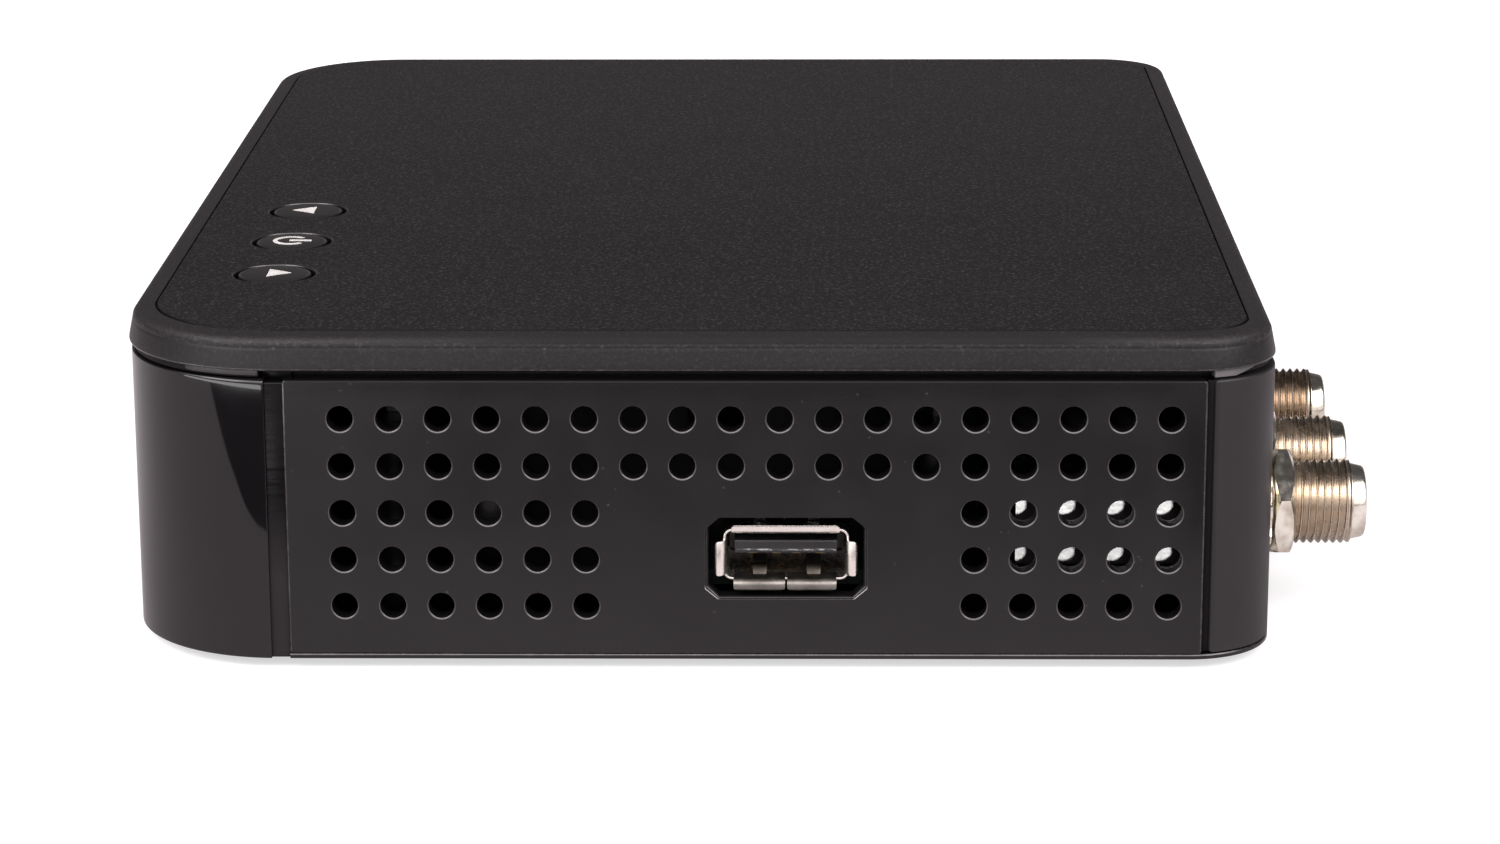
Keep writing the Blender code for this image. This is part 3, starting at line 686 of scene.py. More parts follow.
def side_plate(side):
    """One moulded side wall with its round vents; the right one has the socket window."""
    sh = Shape()
    def at(s, pts):
        return sh.ring([P(s if side > 0 else WIDTH - s, d, z) for d, z in pts])
    f, n = 0.20, 5
    depth = WALL
    top_z = P(0.0, 0.0, WALL_TOP - 0.145)[2]

    def edge(t, s):
        return at(s, rrect(SIDE_START + t, SIDE_END - t, 0.64 + 0.3 * t, WALL_TOP - t, max(0.35 - t, 0.05), 3))

    steps = [(f * (1 - math.sin(math.pi / 2 * k / n)), f * (1 - math.cos(math.pi / 2 * k / n))) for k in range(n + 1)]
    rim = [(0.115, 0.0), (0.107, 0.003), (0.092, 0.010), (0.056, 0.035), (0.023, 0.06), (0.006, 0.085), (0.0, 0.13)]
    bore = VENT_R - 0.045
    outer = [edge(t, s) for t, s in steps] + [edge(0.0, depth)]
    # the rounded outer edge of the wall takes the pale edge finish, a painted highlight
    sh.finish = 1
    sh.rings(outer[:-1])
    sh.finish = 0
    # the top of the wall takes the dark finish, a painted shade in the joint under the cover; a thin band below keeps
    # the plain plastic
    sh.mi = [2 if low > top_z else 0 if low > top_z - 0.12 else m for low, m in zip([min(sh.v[i][2] for i in face) for face in sh.f], sh.mi)]
    sh.bridge(outer[-2], outer[-1])
    front_holes, back_holes = [], []
    for d, z in vents():
        loops = [at(s, circle(d, z - 0.45 * t, bore + t, 32)) for t, s in rim] + [at(depth, circle(d, z, bore, 32))]
        sh.finish = 3
        sh.rings(loops[:-1])
        # vent and window bores in the dark finish: painted shade
        sh.finish = 2
        sh.bridge(loops[-2], loops[-1])
        sh.finish = 0
        front_holes.append(loops[0])
        back_holes.append(loops[-1])
    if side > 0:
        def window(k):
            """Outline of the socket window; k goes from 0 at its inner edge to 1 at the outer edge of its bevel."""
            e, low, high = 8.02 + 0.36 * k, -4.14 - 0.22 * k, 4.38 + 0.05 * k
            c0, c1, m0, m1 = -2.95 - 0.30 * k, 3.28 - 0.15 * k, 6.9 + 0.14 * k, 6.88 - 0.02 * k
            return [(USB_D + u, WINDOW_Z + v) for u, v in ((e, c0), (e, c1), (m1, high), (-m1, high), (-e, c1), (-e, c0), (-m0, low), (m0, low))]

        loops = [at(s, window(k)) for k, s in ((1.0, 0.0), (0.95, 0.008), (0.89, 0.03), (0.84, 0.07), (0.81, 0.13), (0.79, 0.22),
                                           (0.55, 0.24), (0.49, 0.246), (0.42, 0.26), (0.37, 0.29), (0.34, 0.35), (0.0, 0.42), (0.0, depth))]
        for finish, a, b in ((3, 0, 5), (2, 4, 7), (3, 6, 11), (2, 10, 13)):
            sh.finish = finish
            sh.rings(loops[a:b], flat=finish == 2)
        sh.finish = 0
        front_holes.append(loops[0])
        back_holes.append(loops[-1])
    sh.fill(outer[0], front_holes)
    sh.fill(outer[-1], back_holes)
    s0, s1 = sorted((2.3, 3.1)) if side > 0 else sorted((WIDTH - 2.3, WIDTH - 3.1))
    sh.add(block(s0, s1, 110.4, 113.9, 1.0, 29.7, 0.1))
    # a boss behind one vent, seen as a blind hole
    s0, s1 = sorted((2.15, 3.2)) if side > 0 else sorted((WIDTH - 2.15, WIDTH - 3.2))
    boss_d, boss_z = VENT_D + VENT_PITCH * 3, VENT_Z - VENT_PITCH * 2
    sh.add(block(s0, s1, boss_d - 1.9, boss_d + 1.9, boss_z - 1.3, boss_z + 2.1, 0.12))
    s0, s1 = sorted((0.75, 2.1)) if side > 0 else sorted((WIDTH - 0.75, WIDTH - 2.1))
    back = block(s0, s1, 112.06, 113.4, 0.72, 29.75, 0.05)
    # the groove strip behind the plate's end in the dark finish: painted shade
    back.mi = [2] * len(back.mi)
    sh.add(back)
    return sh


right = side_plate(1).build("case_side_right", CASE, "case_plastic", replaces=["lower_case"], more=(EDGE_HIGHLIGHT, SHADE_BLACK, RIM_HIGHLIGHT))
left = side_plate(-1).build("case_side_left", CASE, "case_plastic", replaces=["lower_case"], more=(EDGE_HIGHLIGHT, SHADE_BLACK, RIM_HIGHLIGHT))


# ------------------------------------------------------------------ rear wall with its corners
def rear_path():
    y1 = FRONT + DEPTH
    cy = y1 - R_BACK
    start = math.degrees(math.asin((SIDE_END + 0.78 + FRONT - cy) / R_BACK))
    a = arc(HX - R_BACK, cy, R_BACK, start, 90, 30)
    b = arc(-HX + R_BACK, cy, R_BACK, 90, 180 - start, 30)
    return a + straight(a[-1], b[0]) + b


def wall_section(z0, z1, low=0.1, high=0.13, inner=WALL):
    def section(shrink):
        return rrect(shrink, inner - shrink, z0 + shrink, z1 - shrink,
                     (max(0.1 - shrink, 0.02), max(0.1 - shrink, 0.02), max(high - shrink, 0.02), max(low - shrink, 0.02)), 4)
    return section


rear = sweep(rear_path(), wall_section(0.72, WALL_TOP, high=0.28), 0.45, 6).build("case_rear", REAR, "case_plastic",
                                                                       replaces=["lower_case"])
cut = Shape()


def opening(pts_of, flare=0.16):
    """A through cut in the back wall whose outer edge is rounded."""
    sh = Shape()
    rows = []
    for t, d in ((0.0, DEPTH - 4.5), (0.0, DEPTH - flare), (flare * 0.13, DEPTH - flare * 0.5), (flare * 0.5, DEPTH - flare * 0.13),
                 (flare, DEPTH), (flare, DEPTH + 1.0)):
        rows.append(sh.ring([P(s, d, z) for s, z in pts_of(t)]))
    sh.rings(rows)
    sh.cap(rows[0])
    sh.cap(rows[-1])
    return sh


for s in AERIAL_S:
    cut.add(opening(lambda t, s=s: circle(s, AERIAL_Z, 4.83 + t, 40)))
cut.add(opening(lambda t: rrect(HDMI_S - 7.9 - t, HDMI_S + 7.9 + t, 7.9 - t, 14.3 + t, 0.5 + t)))
cut.add(opening(lambda t: rrect(LAN_S - 8.3 - t, LAN_S + 8.3 + t, 7.9 - t, 21.8 + t, 0.4 + t)))
cut.add(opening(lambda t: circle(AV_S, 11.4, 3.4 + t, 40)))
cut.add(opening(lambda t: circle(DC_S, 13.6, 4.4 + t, 40)))
boolean(rear, cut)
rear.data.shade_smooth()
rear.data.set_sharp_from_angle(angle=math.radians(35))
weighted(rear)


# ------------------------------------------------------------------ floor of the case
def tray_path():
    """Outline of the floor: set in behind the front panel and beside it, full size from the side walls back."""
    full = outline()
    out = []
    y_side = SIDE_START + FRONT
    y_panel = PANEL_END + 0.25 + FRONT
    back = [p for p in full if p[1] > y_side + 0.4]
    front = [p for p in full if p[1] < y_panel - 0.4]
    # right side, going back, then round, then the left side coming forward
    front_right = [p for p in front if p[0] > 0]
    front_left = [p for p in front if p[0] <= 0]
    front_right.sort(key=lambda p: math.atan2(p[3], p[2]))
    front_left.sort(key=lambda p: (math.atan2(p[3], p[2]) + 2 * math.pi) % (2 * math.pi))
    for x, y, nx, ny in front_right:
        out.append((x, y, nx, ny, 2.6))
    out.append((HX, y_panel, 1.0, 0.0, 2.6))
    out.append((HX, y_panel, 1.0, 0.0, 0.7))
    out.append((HX, y_side, 1.0, 0.0, 0.7))
    out.append((HX, y_side, 1.0, 0.0, 0.0))
    for x, y, nx, ny in back:
        out.append((x, y, nx, ny, 0.0))
    out.append((-HX, y_side, -1.0, 0.0, 0.0))
    out.append((-HX, y_side, -1.0, 0.0, 0.7))
    out.append((-HX, y_panel, -1.0, 0.0, 0.7))
    out.append((-HX, y_panel, -1.0, 0.0, 2.6))
    for x, y, nx, ny in front_left:
        out.append((x, y, nx, ny, 2.6))
    return out


def make_floor():
    sh = Shape()
    path = tray_path()

    def ring(t, z):
        return sh.ring([(x - nx * (i + t), y - ny * (i + t), z) for x, y, nx, ny, i in path])

    r = 0.22
    rows = [ring(r * (1 - math.sin(math.pi / 2 * k / 5)), r * (1 - math.cos(math.pi / 2 * k / 5))) for k in range(6)]
    rows += [ring(0.0, 0.40), ring(0.015, 0.45), ring(0.09, 0.56), ring(0.12, 0.58), ring(0.9, 0.585), ring(2.3, 2.0)]
    sh.rings(rows[:7])
    # the rounded upper edge of the floor takes the pale edge finish, a painted highlight
    sh.finish = 1
    sh.rings(rows[6:10])
    sh.finish = 0
    sh.rings(rows[9:])
    low, high = [], []
    f = 0.3
    for s, d in CASE_BOSS:
        loops = [sh.ring([P(a, b, z) for a, b in circle(s, d, rr, 40)]) for rr, z in
                 ((3.3 + f, 0.0), (3.3 + f * 0.3, f * 0.3), (3.3, f), (3.3, 15.9), (1.7, 15.9), (1.7, 24.0), (5.0, 24.0), (5.0, 2.0))]
        sh.rings(loops)
        low.append(loops[0])
        high.append(loops[-1])
    for s, d in FEET:
        loops = [sh.ring([P(a, b, z) for a, b in circle(s, d, rr, 40)]) for rr, z in
                 ((5.5, 0.0), (5.36, 0.06), (5.3, 0.2), (5.3, 0.8))]
        sh.rings(loops)
        sh.cap(loops[-1])
        low.append(loops[0])
    # a bare, slightly sunken field on the underside
    loops = [sh.ring([P(a, b, z) for a, b in rrect(50 - t, 108 + t, 48 - t, 84 + t, 2.0 + t, 6)]) for t, z in
             ((0.12, 0.0), (0.03, 0.04), (0.0, 0.2))]
    sh.rings(loops)
    sh.cap(loops[-1])
    low.append(loops[0])
    # slots that let air in underneath
    for i in range(9):
        for d0 in (28.0, 92.0):
            c = 61.0 + 4.5 * i
            loops = [sh.ring([P(a, b, z) for a, b in rrect(c - 0.8 - t, c + 0.8 + t, d0 - t, d0 + 11 + t, 0.79 + t, 6)])
                     for t, z in ((0.2, 0.0), (0.06, 0.06), (0.0, 0.2), (0.0, 2.0))]
            sh.rings(loops)
            low.append(loops[0])
            high.append(loops[-1])
    sh.fill(rows[0], low)
    sh.fill(rows[-1], high)
    return sh


make_floor().build("case_floor", CASE, "case_plastic", replaces=["lower_case"], more=(EDGE_HIGHLIGHT,))

# ------------------------------------------------------------------ channels beside the front panel
# the bars take the channel finish, whose darkness is painted shade
for name, sgn in (("right", 1), ("left", -1)):
    def ss(s, sgn=sgn):
        return s if sgn > 0 else WIDTH - s
    bar = Shape()
    lo_s, hi_s = sorted((ss(0.34), ss(2.5)))
    bar.add(block(lo_s, hi_s, PANEL_END - 0.6, SIDE_START + 0.9, 0.05, 29.6, 0.2))
    lo_s, hi_s = sorted((ss(1.9), ss(3.4)))
    bar.add(block(lo_s, hi_s, PANEL_END - 0.6, SIDE_START + 0.9, 29.4, 30.9, 0.2))
    bar.build("case_channel_" + name, CHANNEL, "case_plastic", replaces=["lower_case"])


# ------------------------------------------------------------------ front panel
def panel_path():
    y0 = FRONT
    end = math.degrees(math.asin((PANEL_END - R_FRONT) / R_FRONT))
    a = arc(-HX + R_FRONT, y0 + R_FRONT, R_FRONT, 180 - end, 270, 60)
    b = arc(HX - R_FRONT, y0 + R_FRONT, R_FRONT, -90, end, 60)
    return a + straight(a[-1], b[0], 0.8) + b


def supported(pts, face, low, high, room=0.9, room_top=0.9):
    """Adds two points on the outer face of a section, near its rounded edges, so that the face between shades flat."""
    out = []
    for i, p in enumerate(pts):
        out.append(p)
        q = pts[(i + 1) % len(pts)]
        if abs(p[0] - face) < 1e-6 and abs(q[0] - face) < 1e-6 and abs(p[1] - q[1]) > 5.0:
            ends = (high - room_top, low + room) if p[1] > q[1] else (low + room, high - room_top)
            out += [(face, ends[0]), (face, ends[1])]
    return out


def panel_section(shrink, y):
    """The wall of the front panel; its top edge is rounder where the panel meets the sides."""
    k = min(1.0, max(0.0, (y - FRONT - 6.2) / (PANEL_END - 6.2)))
    r = 0.17 + 0.45 * k
    pts = rrect(shrink, WALL - shrink, 0.0 + shrink, PANEL_TOP - shrink, (0.1, 0.1, max(r - shrink, 0.02), max(0.22 - shrink, 0.02)), 7)
    return supported(pts, 0.0 + shrink, 0.0 + shrink, PANEL_TOP - shrink, room_top=r + 0.05 + 0.48 * k)


panel = sweep(panel_path(), panel_section, 0.14, 4, by_place=True).build("front_fascia", GLOSS, "front_gloss", replaces=["front_panel"])
win = Shape()
rows = []
for t, d in ((0.0, 4.0), (0.0, 0.2), (0.03, 0.09), (0.09, 0.03), (0.2, 0.0), (0.2, -1.0)):
    rows.append(win.ring([P(s, d, z) for s, z in rrect(75.7 - t, 120.3 + t, 9.7 - t, 26.3 + t, 1.2 + t, 6)]))
win.rings(rows)
win.cap(rows[0])
win.cap(rows[-1])
boolean(panel, win)
panel.data.shade_smooth()
panel.data.set_sharp_from_angle(angle=math.radians(32))
weighted(panel)

# lens in the window
lens = Shape()
rows = []
for t, d in ((0.5, 0.19), (0.32, 0.20), (0.12, 0.26), (0.03, 0.36), (0.0, 0.5), (0.0, 2.5), (-1.9, 2.5), (-1.9, 3.35)):
    rows.append(lens.ring([P(s, d, z) for s, z in rrect(76.0 + t, 120.0 - t, 10.0 + t, 26.0 - t, max(1.0 - t, 0.3), 6)]))
lens.rings(rows)
lens.cap(rows[0])
lens.cap(rows[-1])
lens.build("display_window", LENS, "smoked_lens", replaces=["display_lens"], angle=25)


# ------------------------------------------------------------------ top cover
def make_cover_shape():
    sh = Shape()
    path = outline(0.22, 44, 30)
    profile = [(4.0, 32.5), (4.0, 28.2), (3.8, 28.0), (2.7, 28.0), (2.5, 28.2), (2.5, 30.85)]
    profile += [(2.3, 30.85), (0.16, 30.85)]
    profile += [(0.16 - 0.16 * math.sin(w), 31.01 - 0.16 * math.cos(w)) for w in (math.pi / 2 * k / 4 for k in range(1, 5))]
    profile += [(0.004, 31.07), (0.02, 31.3), (0.17, 32.0), (0.33, 32.8), (0.39, 33.06), (0.425, 33.12), (0.43, 33.17)]
    cx, cz, r = 1.48, 33.21, 1.05
    for k in range(0, 10):
        w = math.radians(176 - 76 * k / 9)
        profile.append((cx + r * math.cos(w), cz + r * math.sin(w)))
    profile += [(1.56, 34.30), (2.60, 34.395), (2.76, 34.405), (2.81, 34.38), (2.84, 34.33), (2.85, 34.16), (3.03, 34.16),
                (3.045, 34.42), (3.10, 34.485), (3.18, 34.5), (3.9, 34.5)]
    rows = [sh.ring(inset(path, t, z)) for t, z in profile]
    g0, g1 = (next(i for i, (t, z) in enumerate(profile) if t >= g and z > 34.0) for g in (2.83, 3.09))
    low = next(i for i, (t, z) in enumerate(profile) if z > 31.05 and i > 8)
    sh.rings(rows[:8])
    # the rounded lower edge of the skirt takes the pale edge finish, a painted highlight
    sh.finish = 2
    sh.rings(rows[7:low + 1])
    sh.finish = 0
    sh.rings(rows[low:g0 + 1])
    # the groove in the top and the key hole walls take the dark finish: painted shade
    sh.finish = 1
    sh.rings(rows[g0:g1 + 1])
    sh.finish = 0
    sh.rings(rows[g1:])
    tops, unders = [], []
    for s in KEYS.values():
        f = 0.22
        loops = [sh.ring([P(a, b, z) for a, b in circle(s, KEY_D, rr, 64)]) for rr, z in
                 [(KEY_HOLE_R + f * (1 - math.sin(w)), 34.5 - f * (1 - math.cos(w))) for w in
                  (math.pi / 2 * k / 5 for k in range(6))] + [(KEY_HOLE_R, 32.5)]]
        sh.finish = 3
        sh.rings(loops[:-1])
        sh.finish = 1
        sh.rings(loops[-2:])
        sh.finish = 0
        tops.append(loops[0])
        unders.append(loops[-1])
    sh.fill(rows[-1], tops)
    sh.fill(rows[0], unders)
    return sh


cover = make_cover_shape().build("cover_shell", COVER, "cover_plastic", replaces=["top_cover"], angle=50, more=(SHADE_BLACK, EDGE_HIGHLIGHT, KEY_RIM))
weighted(cover)


# lips that close the joint under the cover at the rounded corners
def lip(path, t0, z0, z1, thick=1.4):
    def section(shrink):
        return rrect(t0 + shrink, t0 + thick - shrink, z0 + shrink, z1 - shrink, max(0.12 - shrink, 0.02), 3)
    return sweep(path, section, 0.1, 2)


front_lip = Shape()
back_lip = Shape()
y0 = FRONT
front_lip.add(lip(arc(HX - R_FRONT, y0 + R_FRONT, R_FRONT, -90, -4, 50), 0.30, 30.10, 31.2))
front_lip.add(lip(arc(-HX + R_FRONT, y0 + R_FRONT, R_FRONT, 184, 270, 50), 0.30, 30.10, 31.2))
front_lip.add(lip([(-HX + R_FRONT, y0, 0.0, -1.0), (HX - R_FRONT, y0, 0.0, -1.0)], 0.30, 30.10, 31.2))
cy = FRONT + DEPTH - R_BACK


def rising_section(shrink, y):
    """Its lower edge climbs out of sight on the way round the corner."""
    k = min(1.0, max(0.0, (y - cy - 4.4) / 3.2))
    return rrect(0.34 + shrink, 1.74 - shrink, 30.06 + 0.92 * k + shrink, 31.2 - shrink, max(0.09 - shrink, 0.02), 3)


back_lip.add(sweep(arc(HX - R_BACK, cy, R_BACK, 13, 64, 40), rising_section, 0.1, 2, by_place=True))
back_lip.add(sweep(arc(-HX + R_BACK, cy, R_BACK, 116, 167, 40), rising_section, 0.1, 2, by_place=True))
# lips in the dark finish: painted shade in the joint under the cover
dark_lip = Shape()
dark_lip.add(lip(arc(HX - R_BACK, cy, R_BACK, 28, 86, 40), 0.62, 30.06, 31.2, thick=0.9))
dark_lip.add(lip(arc(-HX + R_BACK, cy, R_BACK, 94, 152, 40), 0.62, 30.06, 31.2, thick=0.9))
front_lip.build("cover_lip_front", SHADE_BLACK, "cover_plastic", replaces=["top_cover"])


def ledge_section(shrink, y):
    """Comes out from under the cover where the front panel turns into the side."""
    k = min(1.0, max(0.0, (y - FRONT - 6.9) / 1.4))
    t0 = 0.34 - 0.24 * k * k * (3.0 - 2.0 * k)
    return rrect(t0 + shrink, 1.6 - shrink, 30.34 + shrink, 31.18 - shrink, max(0.06 - shrink, 0.02), 3)


# the ledge shows as a paler strip under the skirt: painted light
ledge = Shape()
ledge.add(sweep(arc(HX - R_FRONT, y0 + R_FRONT, R_FRONT, -36, -4, 40), ledge_section, 0.04, 2, by_place=True))
ledge.add(sweep(arc(-HX + R_FRONT, y0 + R_FRONT, R_FRONT, 184, 216, 40), ledge_section, 0.04, 2, by_place=True))
ledge.build("cover_ledge_front", LEDGE_LIT, "cover_plastic", replaces=["top_cover"])
back_lip.build("case_lip_rear", LIP, "case_plastic", replaces=["lower_case"])
dark_lip.build("case_lip_inner", SHADE_BLACK, "case_plastic", replaces=["lower_case"])


# ------------------------------------------------------------------ keys
def dome(r):
    """Height of the cap's top at a radius."""
    return 34.575 - 0.0050 * r * r - 0.00014 * r ** 4


def on_dome(s, pts, rise):
    return [P(s + a, KEY_D + b, dome(math.hypot(a, b)) + rise) for a, b in pts]


def dense(pts, step=0.25):
    out = []
    for (x0, y0_), (x1, y1_) in zip(pts, pts[1:] + pts[:1]):
        n = max(1, int(math.hypot(x1 - x0, y1_ - y0_) / step))
        out += [(x0 + (x1 - x0) * k / n, y0_ + (y1_ - y0_) * k / n) for k in range(n)]
    return out


def icon(s, loops):
    """A thin printed mark that follows the cap."""
    sh = Shape()
    for pts in loops:
        pts = dense(pts)
        top = sh.ring(on_dome(s, pts, 0.034))
        low = sh.ring(on_dome(s, pts, -0.08))
        sh.bridge(top, low, flat=True)
        sh.fill(top)
        sh.fill(low)
    return sh


def ring_mark(r0, r1, gap, n=44):
    """A broken ring, open towards the back."""
    a0, a1 = math.radians(90 + gap), math.radians(450 - gap)
    outer = [(r1 * math.cos(a0 + (a1 - a0) * k / n), r1 * math.sin(a0 + (a1 - a0) * k / n)) for k in range(n + 1)]
    inner = [(r0 * math.cos(a0 + (a1 - a0) * k / n), r0 * math.sin(a0 + (a1 - a0) * k / n)) for k in range(n + 1)]
    return outer + inner[::-1]


def cap_finish(cap, face, s):
    """Polished on the rounded edge of the top; below it the side takes the dark finish, a painted shade in the gap
    round the cap.
    """
    r = sum(math.hypot(cap.v[i][0] - (HX - s), cap.v[i][1] - (KEY_D + FRONT)) for i in face) / len(face)
    low = min(cap.v[i][2] for i in face)
    return 0 if r < 3.6 and low > 34.0 else 1 if low > 34.38 else 2


for key, s in KEYS.items():
    prof = [(0.0, dome(0.0))]
    prof += [(r, dome(r)) for r in (0.8, 1.6, 2.3, 2.9, 3.35, 3.6)]
    r1, z1 = 3.6, dome(3.6)
    prof += [(3.80, z1 - 0.035), (3.88, z1 - 0.075), (3.935, z1 - 0.14), (KEY_R, z1 - 0.24), (KEY_R, 32.3), (5.1, 32.2), (5.2, 32.1),
             (5.2, 31.3), (5.1, 31.2), (1.5, 31.2), (1.5, 29.7), (1.35, 29.6), (0.0, 29.6)]
    cap = lathe(prof, s, KEY_D, 0.0, n=72)
    cap.mi = [cap_finish(cap, face, s) for face in cap.f]
    cap.build(key + "_cap", KEY, "key_plastic", key + "_key", [key + "_button"], angle=50, more=(KEY_RIM, SHADE_BLACK))
    if key == "power":
        moved = [[(a, b - 0.12) for a, b in ring_mark(1.48, 2.0, 46)], [(-0.3, -0.25), (0.3, -0.25), (0.3, 2.2), (-0.3, 2.2)]]
    elif key == "channel_up":
        moved = [[(-1.7, -0.7), (0.0, 1.82), (1.7, -0.7)]]
    else:
        moved = [[(-1.7, 0.84), (1.7, 0.84), (0.0, -1.77)]]
    icon(s, moved).build(key + "_mark", ICON, "key_plastic", key + "_key")


# ------------------------------------------------------------------ aerial sockets
def thread(s, d0, d1, z, crest, root, pitch, n=56, m=12):
    """Side surface of a turned thread between two places; returns the shape with its first and last ring."""
    sh = Shape()
    total = int(math.ceil((d1 - d0) / pitch * m)) + m + 1

    def radius(k, y):
        u = (k % m) / m
        tri = min(1.0, max(0.0, (abs(u - 0.5) * 2 - 0.10) / 0.80))
        depth = crest - root
        fade = min(1.0, (y - d0) / (0.7 * pitch), (d1 - y) / (0.7 * pitch))
        return crest - depth * tri * max(0.0, fade) - 0.10 * (1 - max(0.0, fade))

    def place(w, r, y):
        x, yy, zz = P(s, y, z)
        return (x + r * math.cos(w), yy, zz + r * math.sin(w))

    first = sh.ring([place(2 * math.pi * i / n, radius(0, d0), d0) for i in range(n)])
    last = sh.ring([place(2 * math.pi * i / n, radius(0, d1), d1) for i in range(n)])
    cols = []
    for i in range(n + 1):
        w = 2 * math.pi * i / n
        col = []
        for k in range(total):
            y = d0 + (k / m + i / n - 1.0) * pitch
            if y <= d0 + 1e-4:
                col.append(first[i % n])
            elif y >= d1 - 1e-4:
                col.append(last[i % n])
            elif i == n:
                col.append(None)
            else:
                col.append(sh.ring([place(w, radius(k, y), y)])[0])
        cols.append(col)
    for k in range(total):
        if cols[n][k] is None:
            cols[n][k] = cols[0][k + m] if k + m < total else last[0]
    for i in range(n):
        sh.bridge(cols[i], cols[i + 1], closed=False)
    return sh, first, last


def socket(s):
    """A threaded aerial socket: flange behind the wall, thread, plain tapered tip, bore."""
    n = 56
    sh, first, last = thread(s, 120.2, 129.2, AERIAL_Z, 4.53, 4.13, 0.794, n)

    def loop(r, d):
        x, y, z = P(s, d, AERIAL_Z)
        return sh.ring([(x + r * math.cos(2 * math.pi * i / n), y, z + r * math.sin(2 * math.pi * i / n)) for i in range(n)])

    rows = [first, loop(4.43, 117.2), loop(3.3, 117.2), loop(3.3, 130.2), loop(3.02, 130.25), loop(3.0, 130.3), loop(3.0, 130.62),
            loop(3.06, 130.74), loop(3.2, 130.8), loop(3.46, 130.8), loop(3.66, 130.74), loop(3.8, 130.58), loop(3.87, 130.3),
            loop(4.06, 129.45), loop(4.08, 129.32), loop(4.2, 129.26), last]
    sh.rings(rows[:8])
    # the plain tip takes the brighter nickel: painted light
    sh.finish = 1
    sh.rings(rows[7:])
    sh.finish = 0
    return sh


def nut(s, d0, d1, flats, bore, spin):
    """A hexagon nut with both faces turned to a chamfer."""
    sh = Shape()
    a = flats / 2
    per = 14
    n = per * 6
    rc = a * 0.975
    x, _, z = P(s, 0, AERIAL_Z)

    def loop(fn):
        pts = []
        for i in range(n):
            w = 2 * math.pi * i / n
            local = (w % (math.pi / 3)) - math.pi / 6
            R = a / math.cos(local)
            r, d = fn(R)
            t = w + math.radians(spin)
            pts.append((x + r * math.cos(t), d + FRONT, z + r * math.sin(t)))
        return sh.ring(pts)

    def h(R):
        return max(0.0, R - rc) * math.tan(math.radians(32)) + 0.03

    rows = [loop(lambda R: (bore, d0 + 0.35)), loop(lambda R: (bore + 0.35, d0)), loop(lambda R: (rc - 0.04, d0)),
            loop(lambda R: (R, d0 + h(R))), loop(lambda R: (R, d1 - h(R))),
            loop(lambda R: (rc - 0.04, d1)), loop(lambda R: (bore + 0.35, d1)), loop(lambda R: (bore, d1 - 0.35))]
    sh.rings(rows + [rows[0]])
    return sh


def washer(s):
    """A toothed lock washer behind the nut."""
    sh = Shape()
    n = 72
    x, _, z = P(s, 0, AERIAL_Z)

    def loop(r_in, r_out, d, twist=0.0):
        pts = []
        for i in range(n):
            w = 2 * math.pi * i / n
            tooth = (i % 6) in (0, 1, 2)
            r = r_out if tooth else r_in
            pts.append((x + r * math.cos(w), d + FRONT + (twist if tooth and i % 6 == 2 else 0.0), z + r * math.sin(w)))
        return sh.ring(pts)

    rows = [loop(4.9, 4.9, 120.0), loop(5.75, 6.35, 120.0), loop(5.8, 6.4, 120.06), loop(5.8, 6.4, 120.42), loop(5.75, 6.35, 120.5),
            loop(4.9, 4.9, 120.5)]
    sh.rings(rows + [rows[0]], flat=True)
    return sh


for i, s in enumerate(AERIAL_S, 1):
    # the back socket takes the darker nickel, a painted shade
    socket(s).build("aerial_barrel_%d" % i, NICKEL if i < 3 else NICKEL_SHADED, "nickel", replaces=["aerial_socket_%d" % i], angle=40,
                                            more=(NUT_PAINTED_LIGHT,))
    nut(s, 120.8, 123.0, 11.0, 4.83, 16.0).build("aerial_hex_nut_%d" % i, NUT_PAINTED_LIGHT, "nickel", replaces=["aerial_nut_%d" % i], angle=24)
    washer(s).build("aerial_lock_washer_%d" % i, NUT_PAINTED_LIGHT, "nickel", replaces=["aerial_washer_%d" % i])
    core = lathe([(0.0, 126.3), (0.5, 126.3), (0.5, 129.75), (0.62, 129.9), (2.8, 129.9), (2.98, 129.75), (2.98, 117.5), (0.0, 117.5)],
                 s, 0.0, AERIAL_Z, axis="Y", n=40)
    core.build("aerial_core_%d" % i, INSULATOR, "insulator", replaces=["aerial_insulator_%d" % i])
    jaws = Shape()
    for sgn in (-1, 1):
        jaws.add(block(s - 0.36, s + 0.36, 126.4, 129.3, AERIAL_Z + sgn * 0.29 - 0.12, AERIAL_Z + sgn * 0.29 + 0.12, 0.05, 1))
    jaws.build("aerial_contact_%d" % i, GOLD, "nickel")


